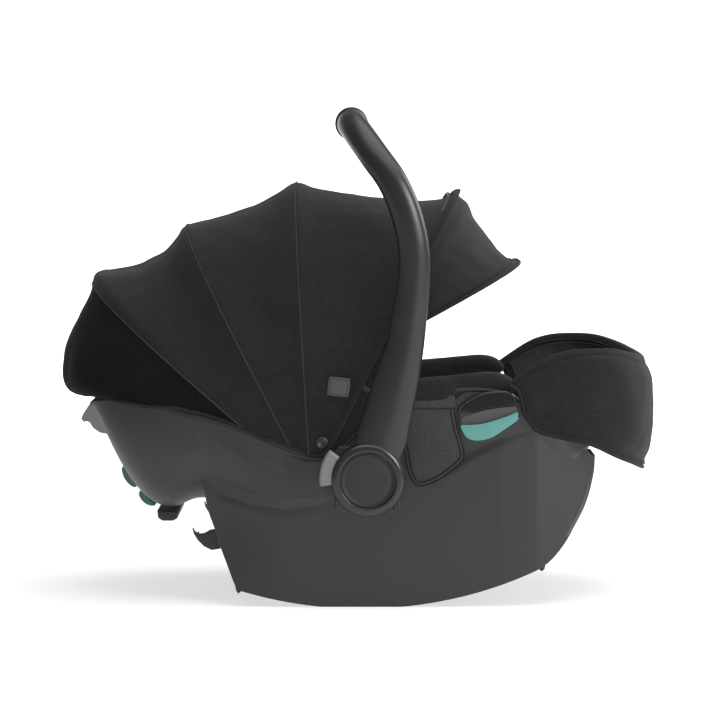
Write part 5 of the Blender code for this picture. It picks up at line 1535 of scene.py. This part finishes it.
def make_stage(look):
    """Pale floor turned up into a backdrop, soft lights and the camera."""
    t = np.linspace(0, 1, 60)
    y = np.where(t < 0.6, -4.0 + t / 0.6 * 8.0,
                 4.0 + 2.5 * np.sin(np.clip((t - 0.6) / 0.4, 0, 1) * math.pi / 2))
    z = np.where(t < 0.6, 0.0, 2.5 * (1 - np.cos(np.clip((t - 0.6) / 0.4, 0, 1) * math.pi / 2)))
    x = np.linspace(-7, 7, 40)
    grid = np.stack([np.broadcast_to(x, (60, 40)), np.broadcast_to(y[:, None], (60, 40)),
                     np.broadcast_to(z[:, None], (60, 40))], -1)
    floor = skin("floor", grid, away=(0, 0, -5.0))
    f = Finish("pale_floor", base_color=(0.9, 0.9, 0.9, 1.0), roughness=0.8,
               emission_color=(1.0, 1.0, 1.0, 1.0), emission_strength=0.17)
    grain = f.noise(2.0, 2.0)
    floor.data.materials.append(f.feed(f.mix(grain, (0.90, 0.90, 0.90), (0.93, 0.93, 0.93)),
                                       0.75 + grain * 0.1))
    world = bpy.data.worlds.new("studio")
    bpy.context.scene.world = world
    world.use_nodes = True
    world.node_tree.nodes["Background"].inputs[0].default_value = (1.0, 1.0, 1.0, 1.0)
    world.node_tree.nodes["Background"].inputs[1].default_value = look.sky
    bpy.context.scene.view_settings.view_transform = "Standard"
    for name, place, aim, size, power in (
            ("key", (2.5, -2.2, 1.9), (0.0, 0.0, 0.25), (1.6, 1.6), look.key),
            ("top", (0.3, -0.2, 2.7), (0.0, 0.0, 0.0), (3.2, 2.6), look.top),
            ("rim", (2.2, 1.2, 1.5), (0.1, 0.0, 0.3), (0.8, 1.4), look.rim),
            ("backdrop", (0.0, 2.6, 2.2), (0.0, 5.2, 0.4), (6.0, 1.2), look.back)):
        light = bpy.data.lights.new(name, "AREA")
        light.shape = "RECTANGLE"
        light.size, light.size_y = size
        light.energy = power
        light.use_shadow = name == "top"
        lamp = bpy.data.objects.new(name, light)
        lamp.location = place
        lamp.rotation_euler = (Vector(aim) - Vector(place)).to_track_quat("-Z", "Y").to_euler()
        bpy.context.scene.collection.objects.link(lamp)
    lens = bpy.data.cameras.new("camera")
    lens.lens = look.lens
    lens.sensor_width = 36.0
    lens.clip_end = 60.0
    camera = bpy.data.objects.new("camera", lens)
    tilt = math.radians(look.elevation)
    aim = Vector((0.0, 0.0, 0.269))
    camera.location = aim + Vector((0.0, -math.cos(tilt), math.sin(tilt))) * look.distance
    camera.rotation_euler = (aim - camera.location).to_track_quat("-Z", "Y").to_euler()
    bpy.context.scene.collection.objects.link(camera)
    bpy.context.scene.camera = camera


# ---------------------------------------------------------------- add-on

class CarSeatColours(bpy.types.PropertyGroup):
    """Colours of the seat's main materials."""

    shell: bpy.props.FloatVectorProperty(
        name="Shell", description="Colour of the moulded shell", subtype="COLOR", size=3,
        default=(0.0185, 0.0185, 0.019), min=0.0, max=1.0)
    cloth: bpy.props.FloatVectorProperty(
        name="Fabric", description="Darker yarn of the knitted fabric", subtype="COLOR", size=3,
        default=(0.0070, 0.0070, 0.0075), min=0.0, max=1.0)
    handle: bpy.props.FloatVectorProperty(
        name="Handle", description="Colour of the carry handle", subtype="COLOR", size=3,
        default=(0.0135, 0.0135, 0.014), min=0.0, max=1.0)
    teal: bpy.props.FloatVectorProperty(
        name="Belt hooks", description="Colour of the vehicle belt hooks", subtype="COLOR", size=3,
        default=(0.088, 0.26, 0.24), min=0.0, max=1.0)


class CarSeatLook(bpy.types.PropertyGroup):
    """Camera and lights."""

    lens: bpy.props.FloatProperty(
        name="Lens", description="Focal length", default=173.75, min=20.0, max=400.0, unit="CAMERA")
    distance: bpy.props.FloatProperty(
        name="Distance", description="Camera to the seat's middle",
        default=4.1, min=1.0, max=20.0, unit="LENGTH")
    elevation: bpy.props.FloatProperty(
        name="Elevation", description="Camera's height above the horizon, in degrees", default=3.5,
                                       min=-10.0, max=90.0)
    sky: bpy.props.FloatProperty(name="Sky", description="Strength of the even light", default=0.22,
                                 min=0.0, max=5.0)
    key: bpy.props.FloatProperty(name="Key", description="Power of the front light", default=112.0, min=0.0,
                                 unit="POWER")
    top: bpy.props.FloatProperty(name="Top", description="Power of the overhead light", default=54.0,
                                 min=0.0, unit="POWER")
    rim: bpy.props.FloatProperty(name="Rim", description="Power of the light from behind", default=25.0,
                                 min=0.0, unit="POWER")
    back: bpy.props.FloatProperty(name="Backdrop", description="Power of the light on the backdrop",
                                  default=260.0, min=0.0, unit="POWER")


class CARSEAT_OT_finishes(bpy.types.Operator):
    """Make the plastics, fabrics and metals"""

    bl_idname = "car_seat.finishes"
    bl_label = "Finishes"

    def execute(self, context):
        FINISHES.update(make_finishes(context.scene.car_seat_colours))
        return {"FINISHED"}


class CARSEAT_OT_shell(bpy.types.Operator):
    """Build the moulded shell with its rocker sides and hub bosses"""

    bl_idname = "car_seat.shell"
    bl_label = "Shell"

    def execute(self, context):
        make_shell()
        return {"FINISHED"}


class CARSEAT_OT_seat(bpy.types.Operator):
    """Build the seat cover, its pads, bolsters and side panels"""

    bl_idname = "car_seat.seat"
    bl_label = "Seat"

    def execute(self, context):
        make_seat()
        return {"FINISHED"}


class CARSEAT_OT_harness(bpy.types.Operator):
    """Build the straps, shoulder pads, buckle and adjuster"""

    bl_idname = "car_seat.harness"
    bl_label = "Harness"

    def execute(self, context):
        make_harness()
        return {"FINISHED"}


class CARSEAT_OT_foot_cover(bpy.types.Operator):
    """Build the cover over the feet"""

    bl_idname = "car_seat.foot_cover"
    bl_label = "Foot cover"

    def execute(self, context):
        make_foot_cover()
        return {"FINISHED"}


class CARSEAT_OT_belt_guides(bpy.types.Operator):
    """Build the vehicle belt guides on both sides"""

    bl_idname = "car_seat.belt_guides"
    bl_label = "Belt guides"

    def execute(self, context):
        make_belt_guides()
        return {"FINISHED"}


class CARSEAT_OT_rear(bpy.types.Operator):
    """Build the release lever, back guides, foot block and latch"""

    bl_idname = "car_seat.rear"
    bl_label = "Rear fittings"

    def execute(self, context):
        make_rear()
        return {"FINISHED"}


class CARSEAT_OT_handle(bpy.types.Operator):
    """Build the carry handle with its hubs, buttons and grip"""

    bl_idname = "car_seat.handle"
    bl_label = "Handle"

    def execute(self, context):
        make_handle()
        return {"FINISHED"}


class CARSEAT_OT_canopy(bpy.types.Operator):
    """Build the canopy's fabric, bows, visor and trims"""

    bl_idname = "car_seat.canopy"
    bl_label = "Canopy"

    def execute(self, context):
        make_canopy()
        return {"FINISHED"}


class CARSEAT_OT_inner(bpy.types.Operator):
    """Finish the foam, pins, springs, gears and bars"""

    bl_idname = "car_seat.inner"
    bl_label = "Inner parts"

    def execute(self, context):
        dress_solids()
        return {"FINISHED"}


class CARSEAT_OT_stage(bpy.types.Operator):
    """Build the floor, lights and camera"""

    bl_idname = "car_seat.stage"
    bl_label = "Stage"

    def execute(self, context):
        make_stage(context.scene.car_seat_look)
        return {"FINISHED"}


STEPS = (CARSEAT_OT_finishes, CARSEAT_OT_stage, CARSEAT_OT_shell, CARSEAT_OT_seat, CARSEAT_OT_harness,
         CARSEAT_OT_foot_cover, CARSEAT_OT_belt_guides, CARSEAT_OT_rear, CARSEAT_OT_handle,
         CARSEAT_OT_canopy, CARSEAT_OT_inner)


class CARSEAT_PT_panel(bpy.types.Panel):
    """Colours, camera, lights and steps of the car seat"""

    bl_idname = "CARSEAT_PT_panel"
    bl_label = "Car seat"
    bl_space_type = "VIEW_3D"
    bl_region_type = "UI"
    bl_category = "Car seat"

    def draw(self, context):
        for group in (context.scene.car_seat_colours, context.scene.car_seat_look):
            for key in type(group).__annotations__:
                self.layout.prop(group, key)
        for step in STEPS:
            self.layout.operator(step.bl_idname)


CLASSES = (CarSeatColours, CarSeatLook, *STEPS, CARSEAT_PT_panel)


def register():
    for cls in CLASSES:
        bpy.utils.register_class(cls)
    bpy.types.Scene.car_seat_colours = bpy.props.PointerProperty(type=CarSeatColours)
    bpy.types.Scene.car_seat_look = bpy.props.PointerProperty(type=CarSeatLook)


def unregister():
    del bpy.types.Scene.car_seat_look
    del bpy.types.Scene.car_seat_colours
    for cls in reversed(CLASSES):
        bpy.utils.unregister_class(cls)


def main():
    register()
    for step in STEPS:
        group, name = step.bl_idname.split(".")
        getattr(getattr(bpy.ops, group), name)()


if __name__ == "__main__":
    main()
